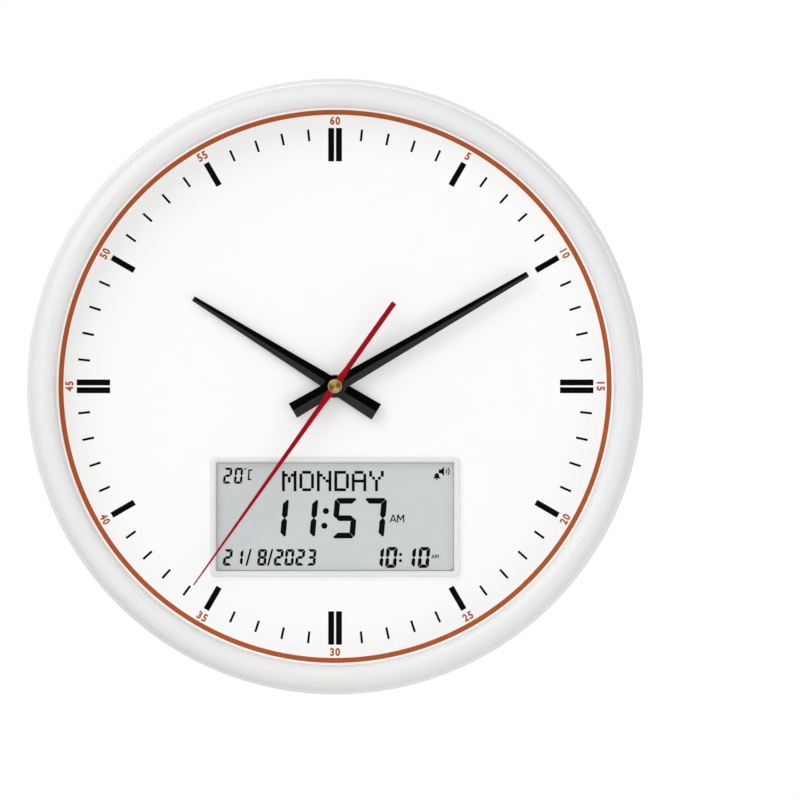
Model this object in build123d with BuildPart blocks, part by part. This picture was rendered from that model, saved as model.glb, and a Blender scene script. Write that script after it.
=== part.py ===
from build123d import *
import os
from math import acos, atan2, cos, degrees, pi, radians, sin, sqrt, tan

# Round wall clock with three analog hands over a digital display, taken apart into its real pieces.
#
# The clock hangs on a wall. The wall is the plane Y = 0 and the clock faces -Y, with +Z up. The hand
# axis is the Y axis. Heights in this file are distances from the wall, measured towards the reader,
# and positions on the dial are given as X (right) and Z (up) as the reader sees them.

# ---------------------------------------------------------------- driving dimensions, millimetres

# bezel and opening
OPENING_RADIUS = 149.2  # inner edge of the bezel
BEAD_WIDTH = 3.2  # how far the bead stands out of the skirt
BEAD_HEIGHT = 5.6
BEAD_ROUND = 2.4
CREST_SETBACK = 5.0  # from the opening's edge to the crest, which is the inner rounding's radius too
CREST_FALL = 7.6  # radius of the crest's outer rounding, down to the skirt
LIP_EDGE = 0.5
BEZEL_WALL = 2.2
BEZEL_BOSS_DIAMETER = 5.2
BOSS_BLEND = 0.4  # how far a boss runs into the wall beside it
BEZEL_SCREW_COUNT = 8

# rear case
CASE_WALL = 2.2
FOOT_HEIGHT = 4.0  # the foot ring's height, which holds the back off the wall
FOOT_WIDTH = 3.5
FOOT_INSET = 2.4  # foot ring to the start of the case's rounded corner
CASE_CORNER = 10.0
FLANGE_HEIGHT = 19.0
FLANGE_THICKNESS = 2.5
FLANGE_INSET = 1.5  # flange edge inside the bead's edge
GUSSET_COUNT = 12
GUSSET_THICKNESS = 1.5
GUSSET_REACH = 3.0  # along the floor, from the start of the corner
WINDOW_GAP = 0.7  # around the module and the movement where they show through the back
WELL_WALL = 1.5
WELL_GAP = 0.5

# hanging keyhole
HANG_INSET = 17.9  # slot's upper end below the start of the case's rounded corner
HANG_DROP = 10.0  # from there down to the entry hole
HANG_ENTRY_DIAMETER = 10.0
HANG_SLOT_WIDTH = 5.0
HANG_PAD_MARGIN = 3.5
HANG_PAD_THICKNESS = 1.4

# glass, spacer ring and dial
GLASS_THICKNESS = 2.5
GLASS_CHAMFER = 0.3
DISC_OVERLAP = 3.4  # glass edge outside the opening
DISC_CLEARANCE = 0.3
RING_RIM = 1.0  # spacer ring's rim round the glass
GLASS_CLEARANCE = 0.5  # second hand's cap to the glass
RING_SHOW = 0.3  # spacer ring's foot inside the opening
RING_DRAFT = 0.7
RIM_SHY = 0.2  # rim below the top of the glass
DIAL_FACE_THICKNESS = 0.5
DIAL_PLATE_THICKNESS = 1.8
PLATE_RIB_INSET = 12.9
PLATE_RIB_WIDTH = 1.5
PLATE_RIB_DEPTH = 3.0

# digital display
VIEW_WIDTH = 126.8
VIEW_HEIGHT = 57.9
CELL_SIDE = 1.8  # cell beyond the visible glass, at its sides and along its top and bottom
CELL_EDGE = 1.55
CELL_THICKNESS = 2.6
CELL_STEP = 1.6  # bare ledge of the cell's rear glass
VIEW_CORNER = 0.8
FRAME_SIDE = 3.35  # width of the frame around the visible glass
FRAME_EDGE = 3.05
FRAME_CORNER = 2.8
FRAME_PROUD = 2.0
FRAME_ROUND = 1.1
FRAME_BEVEL = 0.9
FRAME_SEAT = 1.7  # display glass below the dial's face
FRAME_SKIRT = 2.2  # wall of the frame where it passes through the dial
WINDOW_FIT = 0.2

# azan module behind the display
MODULE_SIDE = 5.25  # module beyond the display's frame
MODULE_EDGE = 5.0
MODULE_SPACE = 2.5  # module to the well around the movement
MODULE_CORNER = 4.0
MODULE_WALL = 1.6
PANEL_THICKNESS = 1.4
MODULE_INSET = 0.2  # module's back inside the case's back
MODULE_SCREW_INSET = 4.6
MODULE_COLUMN_DIAMETER = 6.0
PLATE_BOSS_DIAMETER = 5.2
PLATE_BOSS_LENGTH = 6.0
BOARD_SIDE = 9.0  # board inside the module's outline
BOARD_EDGE = 4.0
BOARD_THICKNESS = 1.6
BOARD_GAP = 0.3
BOARD_SCREW_INSET = 3.0
BOARD_POST_DIAMETER = 4.4
PROCESSOR = (8.0, 14.0, 14.0, 1.8)  # each chip's X, width, height and thickness, above the key row
MEMORY = (-16.0, 9.0, 7.0, 1.5)
OSCILLATOR = (-34.0, 12.0, 5.0, 3.0)
STRIP_SIDE = 9.2  # strip's ends inside the cell's ends
STRIP_WIDTH = 2.2
STRIP_HEIGHT = 2.1
STRIP_EDGE = 1.0

# battery cells, which the module and the movement share
BATTERY_DIAMETER = 14.5
BATTERY_LENGTH = 50.5  # over the button
BUTTON_DIAMETER = 5.5
BUTTON_LENGTH = 1.0
BATTERY_PLAY = 0.2
BATTERY_SPACING = 0.6
CONTACT_SPACE = 4.0
CONTACT_GAUGE = 0.4
CONTACT_WIDTH = 9.0

# module battery bay, door, speaker and keys
BAY_SIDE = 3.65  # door to the module's left side and top
BAY_EDGE = 11.7
BAY_WALL = 1.6
BAY_ROOF = 1.2
DOOR_LEDGE = 1.1
DOOR_GAP = 0.3
DOOR_GRIP_COUNT = 5
DOOR_GRIP_LENGTH = 14.0
DOOR_GRIP_WIDTH = 1.0
DOOR_GRIP_PITCH = 2.0
DOOR_GRIP_EDGE = 8.0  # middle of the grip to the door's edge
DOOR_TONGUE_WIDTH = 12.0
DOOR_TONGUE_LENGTH = 9.0
DOOR_TONGUE_SLOT = 0.8
SPEAKER_SIDE = 11.0  # speaker to the module's right side
SPEAKER_DIAMETER = 40.0
SPEAKER_DEPTH = 4.2
CONE_GAUGE = 0.5
MAGNET_DIAMETER = 22.0
MAGNET_THICKNESS = 6.0
GRILLE_DIAMETER = 34.0
GRILLE_SLOT = 1.8
GRILLE_PITCH = 4.2
KEY_EDGE = 13.0  # key row above the module's lower edge
KEY_PITCH = 15.0
KEY_SIDE = 26.0  # first key to the module's left side
KEY_WIDTH = 10.0
KEY_HEIGHT = 6.0
KEY_PROUD = 1.5
KEY_FLANGE = 1.2
KEY_FLANGE_THICKNESS = 0.9
KEY_CLEARANCE = 0.25
KEY_TRAVEL = 0.8
SWITCH_SIZE = 6.0
SWITCH_BODY = 3.5
SWITCH_PLUNGER = 0.7
KEY_BOARD_THICKNESS = 1.2
KEY_BOARD_HEIGHT = 13.0
STAKE_DIAMETER = 4.0
STAKE_BEFORE = 8.9  # stake left of the first key
STAKE_AFTER = 9.9  # stake right of the slider
STAKE_EDGE = 2.4  # stake to the key board's end
STAKE_RISE = 3.5  # above the middle of the key board
SLIDER_TRAVEL = 6.0
SLIDER_KNOB = 4.0
SLIDER_SLOT_HEIGHT = 3.4

# quartz movement
MOVEMENT_CELL_ROOM = 2.7  # for the contacts at both ends of its cell
MOVEMENT_HEADROOM = 0.6  # above the hour wheel
MOVEMENT_CELL_PLAY = 0.3
DIVIDER_THINNING = 0.2  # wall between cell and train, thinner than the outer ones
MOVEMENT_CORNER = 3.0
MOVEMENT_WALL = 1.4
RUBBER_THICKNESS = 0.6
RUBBER_DIAMETER = 24.0
BUSH_DIAMETER = 7.7
BUSH_FLANGE_DIAMETER = 10.5
BUSH_FLANGE_THICKNESS = 0.7
BUSH_PROUD = 2.4  # bush above the dial's face
WASHER_DIAMETER = 13.0
WASHER_THICKNESS = 0.4
NUT_ACROSS_FLATS = 10.0
NUT_THICKNESS = 1.8
WHEEL_THICKNESS = 0.8
ROTOR_RISE = 1.3  # from the case's floor, and then from level to level up the train
SECOND_RISE = 2.2
THIRD_RISE = 2.6
PLATE_GAP = 0.4
MOTION_RISE = 2.0
HOUR_RISE = 1.7
PILLAR_DIAMETER = 3.8
PILLAR_SIDE = 3.4  # pillars inside the chamber's sides, its divider and the bearing plate's top
PILLAR_LOW = 3.1
PILLAR_HIGH = 3.0
MOVEMENT_BOARD_LENGTH = 16.0
MOVEMENT_BOARD_WIDTH = 7.0
MOVEMENT_BOARD_THICKNESS = 0.8
MOVEMENT_BOARD_SIDE = 2.6
MOVEMENT_BOARD_POST = 5.0  # from the board's middle
CRYSTAL_DIAMETER = 2.0
CRYSTAL_LENGTH = 6.0
COIL_SPACE = 2.1  # board to the coil's core
PINION_LENGTH = 1.2
ARBOR_DIAMETER = 1.0
SETTING_ARBOR_DIAMETER = 1.6
CANNON_DIAMETER = 3.2
PIPE_DIAMETER = 5.0
SHAFT_CLEARANCE = 0.07  # radial, between every shaft and its hole
BACKLASH = 0.15
BEARING_PLATE_THICKNESS = 0.8
ROTOR_DIAMETER = 6.0
ROTOR_LENGTH = 2.6
STATOR_THICKNESS = 0.8
STATOR_GAP = 0.6
COIL_DIAMETER = 7.4
COIL_LENGTH = 18.0
CORE_REACH = 3.4  # coil's core beyond its bobbin, on each side
SET_KNOB_DIAMETER = 11.0
SET_KNOB_THICKNESS = 3.0
SET_KNOB_FLUTES = 12

# going train and motion work: rotor to second hand 30 to 1, then 60 to 1 and 12 to 1
ROTOR_TEETH, INTERMEDIATE_TEETH, INTERMEDIATE_PINION, SECOND_TEETH = 8, 40, 8, 48
SECOND_PINION, THIRD_TEETH, THIRD_PINION, CENTRE_TEETH = 8, 60, 8, 64
CANNON_TEETH, MOTION_TEETH, MOTION_PINION, HOUR_TEETH = 12, 36, 12, 48
TRAIN_MODULE = 0.32
CENTRE_MODULE = 0.30
CANNON_MODULE = 0.46
ADDENDUM, DEDENDUM = 0.8, 1.3  # of the module
WHEEL_CLEARANCE = 0.66  # centre wheel's teeth to the wall of the cell bay

# hands
HOUR_ANGLE = 301.8  # degrees clockwise from twelve
MINUTE_ANGLE = 59.8
SECOND_ANGLE = 215.4
HAND_GAUGE = 0.5
FACET_SLOPE = 11.0  # degrees
HUB_DIAMETER = 12.0
HOUR_LENGTH, HOUR_TAIL = 88.9, 26.0
HOUR_TIP_WIDTH, HOUR_TAIL_WIDTH = 2.7, 9.7
MINUTE_LENGTH, MINUTE_TAIL = 118.9, 25.9
MINUTE_TIP_WIDTH, MINUTE_TAIL_WIDTH = 3.1, 8.8
SECOND_LENGTH, SECOND_TAIL = 130.0, 54.6
SECOND_TIP_WIDTH, SECOND_ROOT_WIDTH = 0.7, 2.8
SECOND_HUB_WIDTH, SECOND_HUB_REACH = 4.4, 12.0
CAP_DIAMETER = 7.4
CAP_HEIGHT = 1.4
HOUR_HAND_RISE = 3.5  # underside of the hour hand above the dial's face
MINUTE_HAND_STEP = 2.0  # from the underside of one hand to that of the next
SECOND_HAND_STEP = 2.1

# fasteners
SCREW_DIAMETER = 2.6
SCREW_HEAD_DIAMETER = 4.8
SCREW_HEAD_HEIGHT = 1.6
SCREW_FIT = 0.1  # around a screw in its hole
CASE_SCREW_BITE = 10.0
BOARD_SCREW_DIAMETER = 2.0
BOARD_SCREW_BITE = 6.0

# ---------------------------------------------------------------- heights above the wall

module_back = FOOT_HEIGHT + MODULE_INSET
panel_top = module_back + PANEL_THICKNESS
cell_low = panel_top + BATTERY_PLAY
cell_axis = cell_low + BATTERY_DIAMETER / 2
roof_low = cell_low + BATTERY_DIAMETER + BATTERY_PLAY
board_low = roof_low + BAY_ROOF + BOARD_GAP
board_top = board_low + BOARD_THICKNESS
display_low = board_top + STRIP_HEIGHT
display_top = display_low + CELL_THICKNESS
dial_top = display_top + FRAME_SEAT
face_low = dial_top - DIAL_FACE_THICKNESS
plate_low = face_low - DIAL_PLATE_THICKNESS
hour_hand_low = dial_top + HOUR_HAND_RISE
minute_hand_low = hour_hand_low + MINUTE_HAND_STEP
second_hand_low = minute_hand_low + SECOND_HAND_STEP
glass_low = second_hand_low + HAND_GAUGE + CAP_HEIGHT + GLASS_CLEARANCE
glass_top = glass_low + GLASS_THICKNESS
crest_top = glass_top + LIP_EDGE + CREST_SETBACK
flange_top = FLANGE_HEIGHT + FLANGE_THICKNESS
case_floor = FOOT_HEIGHT + CASE_WALL

train_stack = ROTOR_RISE + SECOND_RISE + THIRD_RISE + MOTION_RISE + HOUR_RISE
train_stack += 2 * WHEEL_THICKNESS + BEARING_PLATE_THICKNESS + 2 * PLATE_GAP + MOVEMENT_HEADROOM
movement_depth = MOVEMENT_WALL + max(
    MOVEMENT_WALL + train_stack, BATTERY_DIAMETER + BATTERY_PLAY + MOVEMENT_CELL_PLAY
)
divider_wall = MOVEMENT_WALL - DIVIDER_THINNING
bay_reach = MOVEMENT_WALL + BATTERY_DIAMETER + 2 * BATTERY_PLAY + divider_wall
centre_reach = (CENTRE_TEETH / 2 + ADDENDUM) * CENTRE_MODULE + WHEEL_CLEARANCE
movement_size = max(BATTERY_LENGTH + MOVEMENT_CELL_ROOM + 2 * MOVEMENT_WALL, 2 * (bay_reach + centre_reach))

# ---------------------------------------------------------------- radii about the hand axis

disc_radius = OPENING_RADIUS + DISC_OVERLAP
ring_radius = disc_radius + DISC_CLEARANCE + RING_RIM
plate_rib_radius = ring_radius - PLATE_RIB_INSET
foot_radius = ring_radius - CASE_CORNER - FOOT_INSET - FOOT_WIDTH
hang_height = ring_radius - CASE_CORNER - HANG_INSET
crest_radius = OPENING_RADIUS + CREST_SETBACK
skirt_radius = crest_radius + CREST_FALL
clock_radius = skirt_radius + BEAD_WIDTH
boss_circle = skirt_radius - BEZEL_WALL - BEZEL_BOSS_DIAMETER / 2 + BOSS_BLEND

# ---------------------------------------------------------------- display and module outlines

cell_width, cell_height = VIEW_WIDTH + 2 * CELL_SIDE, VIEW_HEIGHT + 2 * CELL_EDGE
frame_width, frame_height = VIEW_WIDTH + 2 * FRAME_SIDE, VIEW_HEIGHT + 2 * FRAME_EDGE
module_width, module_height = frame_width + 2 * MODULE_SIDE, frame_height + 2 * MODULE_EDGE
board_width, board_height = module_width - 2 * BOARD_SIDE, module_height - 2 * BOARD_EDGE
board_screw_x, board_screw_z = board_width / 2 - BOARD_SCREW_INSET, board_height / 2 - BOARD_SCREW_INSET
strip_length = cell_width - 2 * STRIP_SIDE
strip_offset = cell_height / 2 - STRIP_EDGE - STRIP_WIDTH / 2
display_z = -(movement_size / 2 + WINDOW_GAP + WELL_WALL + MODULE_SPACE + module_height / 2)
bay_length = BATTERY_LENGTH + 2 * CONTACT_SPACE
bay_height = 2 * BATTERY_DIAMETER + BATTERY_SPACING + 4 * BATTERY_PLAY
door_size = (bay_length + 2 * DOOR_LEDGE, bay_height + 2 * DOOR_LEDGE)
bay_x = -module_width / 2 + BAY_SIDE + door_size[0] / 2
bay_z = display_z + module_height / 2 - BAY_EDGE - door_size[1] / 2
speaker_x = module_width / 2 - SPEAKER_SIDE - SPEAKER_DIAMETER / 2
key_z = display_z - module_height / 2 + KEY_EDGE
key_start = -module_width / 2 + KEY_SIDE
slider_x = key_start + 6 * KEY_PITCH
stake_left, stake_right = key_start - STAKE_BEFORE, slider_x + STAKE_AFTER


# ---------------------------------------------------------------- planes and outlines


def facing(height, x=0.0, z=0.0, angle=90.0):
    """Plane parallel to the dial, facing the reader, its X axis along that clock angle (90 is right)."""
    along = (sin(radians(angle)), 0, cos(radians(angle)))
    return Plane(origin=(x, -height, z), x_dir=along, z_dir=(0, -1, 0))


def section(x=0.0, z=0.0):
    """Half plane through an axis at x, z: its X is the radius and its Y the height above the wall."""
    return Plane(origin=(x, 0, z), x_dir=(1, 0, 0), z_dir=(0, 0, -1))


def axis_at(x, z):
    return Axis((x, 0, z), (0, 1, 0))


def outline(*points):
    """Closed polygon as a face, for a sketch to add."""
    with BuildSketch(Plane.XY) as sketch:
        with BuildLine(Plane.XY):
            Polyline(*points, close=True)
        make_face()
    return sketch.sketch


def gear(teeth, module, bearing, gap=False):
    """Spur gear face, 20 degree pressure angle, with a tooth or a gap along that bearing in degrees."""
    pitch = teeth * module / 2
    base = pitch * cos(radians(20))
    root, tip = pitch - DEDENDUM * module, pitch + ADDENDUM * module
    slope = radians(20)

    def half_angle(radius):
        flank = acos(min(1.0, base / radius))
        return pi / (2 * teeth) - BACKLASH / (4 * pitch) + (tan(slope) - slope) - (tan(flank) - flank)

    points = []
    for tooth in range(teeth):
        middle = radians(bearing) + 2 * pi * (tooth + (0.5 if gap else 0.0)) / teeth
        for radius, side in ((root, -1), (tip, -1), (tip, 1), (root, 1)):
            angle = middle + side * half_angle(radius)
            points.append((radius * cos(angle), radius * sin(angle)))
    return outline(*points)


def bearing_to(here, there):
    """Direction from one arbor to another, in degrees from X towards Z."""
    return degrees(atan2(there[1] - here[1], there[0] - here[0]))


def screw(height, x, z, diameter, head_diameter, length, head_height):
    """Pan head screw, driven towards the reader, with its head's seat at that height."""
    with BuildPart() as made:
        with BuildSketch(facing(height - head_height, x, z)):
            Circle(head_diameter / 2)
        extrude(amount=head_height)
        with BuildSketch(facing(height - head_height, x, z)):
            Rectangle(head_diameter * 0.62, head_diameter * 0.16)
            Rectangle(head_diameter * 0.16, head_diameter * 0.62)
        extrude(amount=head_height / 2, mode=Mode.SUBTRACT)
        with BuildSketch(facing(height, x, z)):
            Circle(diameter / 2)
        extrude(amount=length)
    return made.part


# ---------------------------------------------------------------- case and glass

screw_angles = [(turn + 0.5) * 360 / BEZEL_SCREW_COUNT for turn in range(BEZEL_SCREW_COUNT)]
screw_spots = [(boss_circle * sin(radians(a)), boss_circle * cos(radians(a))) for a in screw_angles]
module_half = (module_width / 2, module_height / 2)
movement_top = face_low - DIAL_PLATE_THICKNESS - RUBBER_THICKNESS
movement_back = movement_top - movement_depth

with BuildPart() as front_bezel:
    with BuildSketch(section()):
        with BuildLine():
            rise = glass_top + LIP_EDGE
            shoulder = crest_top - CREST_FALL
            bead_top = flange_top + BEAD_HEIGHT
            bead_centre = clock_radius - BEAD_ROUND
            inner_skirt = skirt_radius - BEZEL_WALL
            foot_edge = OPENING_RADIUS + BEZEL_WALL
            Line((OPENING_RADIUS, glass_top), (OPENING_RADIUS, rise))
            CenterArc((crest_radius, rise), CREST_SETBACK, 90, 90)
            CenterArc((crest_radius, shoulder), CREST_FALL, 0, 90)
            Line((skirt_radius, shoulder), (skirt_radius, bead_top))
            Line((skirt_radius, bead_top), (bead_centre, bead_top))
            CenterArc((bead_centre, bead_top - BEAD_ROUND), BEAD_ROUND, 0, 90)
            Line((clock_radius, bead_top - BEAD_ROUND), (clock_radius, flange_top))
            Line((clock_radius, flange_top), (clock_radius - BEZEL_WALL, flange_top))
            Line((clock_radius - BEZEL_WALL, flange_top), (clock_radius - BEZEL_WALL, bead_top - BEZEL_WALL))
            Line((clock_radius - BEZEL_WALL, bead_top - BEZEL_WALL), (inner_skirt, bead_top - BEZEL_WALL))
            Line((inner_skirt, bead_top - BEZEL_WALL), (inner_skirt, shoulder))
            CenterArc((crest_radius, shoulder), CREST_FALL - BEZEL_WALL, 0, 90)
            CenterArc((crest_radius, rise), CREST_SETBACK - BEZEL_WALL, 90, 90)
            Line((foot_edge, rise), (foot_edge, glass_top))
            Line((foot_edge, glass_top), (OPENING_RADIUS, glass_top))
        make_face()
    revolve(axis=Axis.Y)
    with BuildSketch(facing(flange_top)):
        with Locations(*screw_spots):
            Circle(BEZEL_BOSS_DIAMETER / 2)
    extrude(amount=shoulder - flange_top)
    with BuildSketch(facing(flange_top)):
        with Locations(*screw_spots):
            Circle(SCREW_DIAMETER / 2 + SCREW_FIT)
    extrude(amount=CASE_SCREW_BITE + 2 * SCREW_FIT, mode=Mode.SUBTRACT)
front_bezel.part.label = "front_bezel"

with BuildPart() as front_glass:
    with BuildSketch(facing(glass_low)):
        Circle(disc_radius)
    extrude(amount=GLASS_THICKNESS)
    chamfer(front_glass.edges().filter_by(GeomType.CIRCLE), GLASS_CHAMFER)
front_glass.part.label = "front_glass"

with BuildPart() as dial_spacer_ring:
    with BuildSketch(section()):
        add(
            outline(
                (OPENING_RADIUS - RING_SHOW, dial_top),
                (ring_radius, dial_top),
                (ring_radius, glass_top - RIM_SHY),
                (disc_radius + DISC_CLEARANCE, glass_top - RIM_SHY),
                (disc_radius + DISC_CLEARANCE, glass_low),
                (OPENING_RADIUS - RING_SHOW + RING_DRAFT, glass_low),
            )
        )
    revolve(axis=Axis.Y)
dial_spacer_ring.part.label = "dial_spacer_ring"

with BuildPart() as rear_case:
    inner_radius = ring_radius - CASE_WALL
    corner_radius = ring_radius - CASE_CORNER
    corner_height = FOOT_HEIGHT + CASE_CORNER
    flange_radius = clock_radius - FLANGE_INSET
    with BuildSketch(section()):
        with BuildLine():
            Polyline(
                (0, case_floor),
                (0, FOOT_HEIGHT),
                (foot_radius, FOOT_HEIGHT),
                (foot_radius, 0),
                (foot_radius + FOOT_WIDTH, 0),
                (foot_radius + FOOT_WIDTH, FOOT_HEIGHT),
                (corner_radius, FOOT_HEIGHT),
            )
            CenterArc((corner_radius, corner_height), CASE_CORNER, -90, 90)
            Polyline(
                (ring_radius, corner_height),
                (ring_radius, FLANGE_HEIGHT),
                (flange_radius, FLANGE_HEIGHT),
                (flange_radius, flange_top),
                (ring_radius, flange_top),
                (ring_radius, plate_low),
                (inner_radius, plate_low),
                (inner_radius, corner_height),
            )
            CenterArc((corner_radius, corner_height), CASE_CORNER - CASE_WALL, -90, 90)
            Line((corner_radius, case_floor), (0, case_floor))
        make_face()
    revolve(axis=Axis.Y)
    for turn in range(GUSSET_COUNT):
        with BuildSketch(section().rotated((0, turn * 360 / GUSSET_COUNT + 15, 0))):
            with BuildLine():
                middle_radius = ring_radius - CASE_WALL / 2
                middle_floor = FOOT_HEIGHT + CASE_WALL / 2
                Line((middle_radius, corner_height), (middle_radius, flange_top))
                Line((middle_radius, flange_top), (inner_radius, flange_top))
                Line((inner_radius, flange_top), (corner_radius - GUSSET_REACH, middle_floor))
                Line((corner_radius - GUSSET_REACH, middle_floor), (corner_radius, middle_floor))
                CenterArc((corner_radius, corner_height), CASE_CORNER - CASE_WALL / 2, -90, 90)
            make_face()
        extrude(amount=GUSSET_THICKNESS / 2, both=True)
    with BuildSketch(facing(case_floor)):
        RectangleRounded(
            movement_size + 2 * (WINDOW_GAP + WELL_WALL),
            movement_size + 2 * (WINDOW_GAP + WELL_WALL),
            MOVEMENT_CORNER + WINDOW_GAP + WELL_WALL,
        )
    extrude(amount=movement_back - WELL_GAP - case_floor)
    with BuildSketch(facing(FOOT_HEIGHT)):
        RectangleRounded(
            movement_size + 2 * WINDOW_GAP, movement_size + 2 * WINDOW_GAP, MOVEMENT_CORNER + WINDOW_GAP
        )
    extrude(amount=movement_back - FOOT_HEIGHT, mode=Mode.SUBTRACT)
    with BuildSketch(facing(FOOT_HEIGHT, z=display_z)):
        RectangleRounded(
            module_width + 2 * WINDOW_GAP, module_height + 2 * WINDOW_GAP, MODULE_CORNER + WINDOW_GAP
        )
    extrude(amount=CASE_CORNER, mode=Mode.SUBTRACT)
    with BuildSketch(facing(case_floor, z=hang_height - HANG_DROP / 2)):
        pad_width = HANG_ENTRY_DIAMETER + 2 * HANG_PAD_MARGIN
        SlotOverall(HANG_DROP + pad_width, pad_width, rotation=90)
    extrude(amount=HANG_PAD_THICKNESS)
    with BuildSketch(facing(FOOT_HEIGHT, z=hang_height)):
        with Locations((0, -HANG_DROP)):
            Circle(HANG_ENTRY_DIAMETER / 2)
        with Locations((0, -HANG_DROP / 2)):
            SlotCenterToCenter(HANG_DROP, HANG_SLOT_WIDTH, rotation=90)
    extrude(amount=CASE_WALL + HANG_PAD_THICKNESS, mode=Mode.SUBTRACT)
    with BuildSketch(facing(FLANGE_HEIGHT)):
        with Locations(*screw_spots):
            Circle(SCREW_DIAMETER / 2 + SCREW_FIT)
    extrude(amount=FLANGE_THICKNESS, mode=Mode.SUBTRACT)
rear_case.part.label = "rear_case"

with BuildPart() as case_screws:
    for x, z in screw_spots:
        add(
            screw(
                FLANGE_HEIGHT,
                x,
                z,
                SCREW_DIAMETER,
                SCREW_HEAD_DIAMETER,
                FLANGE_THICKNESS + CASE_SCREW_BITE,
                SCREW_HEAD_HEIGHT,
            )
        )
case_screws.part.label = "case_screws"

# ---------------------------------------------------------------- dial

column_spots = [
    (sx * (module_half[0] - MODULE_SCREW_INSET), display_z + sz * (module_half[1] - MODULE_SCREW_INSET))
    for sx in (-1, 1)
    for sz in (-1, 1)
]
window_size = (
    VIEW_WIDTH + 2 * FRAME_SKIRT + 2 * WINDOW_FIT,
    VIEW_HEIGHT + 2 * FRAME_SKIRT + 2 * WINDOW_FIT,
)
boss_low = plate_low - PLATE_BOSS_LENGTH

with BuildPart() as dial_plate:
    with BuildSketch(facing(plate_low)):
        Circle(ring_radius)
    extrude(amount=DIAL_PLATE_THICKNESS)
    with BuildSketch(facing(plate_low - PLATE_RIB_DEPTH)):
        Circle(plate_rib_radius)
        Circle(plate_rib_radius - PLATE_RIB_WIDTH, mode=Mode.SUBTRACT)
    extrude(amount=PLATE_RIB_DEPTH)
    with BuildSketch(facing(boss_low)):
        with Locations(*column_spots):
            Circle(PLATE_BOSS_DIAMETER / 2)
    extrude(amount=PLATE_BOSS_LENGTH)
    with BuildSketch(facing(boss_low)):
        with Locations(*column_spots):
            Circle(SCREW_DIAMETER / 2 + SCREW_FIT)
    extrude(amount=PLATE_BOSS_LENGTH, mode=Mode.SUBTRACT)
    with BuildSketch(facing(plate_low)):
        Circle(BUSH_DIAMETER / 2 + WINDOW_FIT)
        with Locations((0, display_z)):
            Rectangle(*window_size)
    extrude(amount=DIAL_PLATE_THICKNESS, mode=Mode.SUBTRACT)
dial_plate.part.label = "dial_plate"

with BuildPart() as dial_face:
    with BuildSketch(facing(face_low)):
        Circle(ring_radius)
        Circle(BUSH_DIAMETER / 2 + WINDOW_FIT, mode=Mode.SUBTRACT)
        with Locations((0, display_z)):
            Rectangle(*window_size, mode=Mode.SUBTRACT)
    extrude(amount=DIAL_FACE_THICKNESS)
dial_face.part.label = "dial_face"

# ---------------------------------------------------------------- display

with BuildPart() as lcd_frame:
    with BuildSketch(facing(dial_top, z=display_z)):
        RectangleRounded(frame_width, frame_height, FRAME_CORNER)
    extrude(amount=FRAME_PROUD)
    fillet(lcd_frame.faces().sort_by(Axis.Y)[0].edges(), FRAME_ROUND)
    with BuildSketch(facing(display_top, z=display_z)):
        Rectangle(window_size[0] - 2 * WINDOW_FIT, window_size[1] - 2 * WINDOW_FIT)
    extrude(amount=FRAME_SEAT)
    with BuildSketch(facing(display_top, z=display_z)):
        RectangleRounded(VIEW_WIDTH, VIEW_HEIGHT, VIEW_CORNER)
    extrude(amount=FRAME_SEAT + FRAME_PROUD, mode=Mode.SUBTRACT)
    chamfer(lcd_frame.faces().sort_by(Axis.Y)[0].inner_wires().edges(), FRAME_BEVEL)
lcd_frame.part.label = "lcd_frame"

with BuildPart() as lcd_cell:
    with BuildSketch(facing(display_low, z=display_z)):
        Rectangle(cell_width, cell_height)
    extrude(amount=CELL_THICKNESS / 2)
    with BuildSketch(facing(display_low + CELL_THICKNESS / 2, z=display_z - CELL_STEP / 2)):
        Rectangle(cell_width, cell_height - CELL_STEP)
    extrude(amount=CELL_THICKNESS / 2)
lcd_cell.part.label = "lcd_cell"

with BuildPart() as lcd_connector_strips:
    with BuildSketch(facing(board_top, z=display_z)):
        with Locations((0, strip_offset), (0, -strip_offset)):
            Rectangle(strip_length, STRIP_WIDTH)
    extrude(amount=STRIP_HEIGHT)
lcd_connector_strips.part.label = "lcd_connector_strips"

# ---------------------------------------------------------------- azan module

key_spots = [(key_start + KEY_PITCH * n, key_z) for n in range(6)]
board_spots = [(sx * board_screw_x, display_z + sz * board_screw_z) for sx in (-1, 1) for sz in (-1, 1)]
flange_high = panel_top + KEY_CLEARANCE / 2 + KEY_FLANGE_THICKNESS
plunger_low = flange_high + KEY_TRAVEL + KEY_CLEARANCE
switch_low = plunger_low + SWITCH_PLUNGER
key_board_low = switch_low + SWITCH_BODY
key_board_span = (stake_left - STAKE_EDGE, stake_right + STAKE_EDGE)
stake_spots = [(stake_left, key_z + STAKE_RISE), (stake_right, key_z + STAKE_RISE)]
slider_slot = SLIDER_KNOB + SLIDER_TRAVEL + 2 * KEY_CLEARANCE
speaker_top = panel_top + SPEAKER_DEPTH
slot_rows = range(-3, 4)

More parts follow.
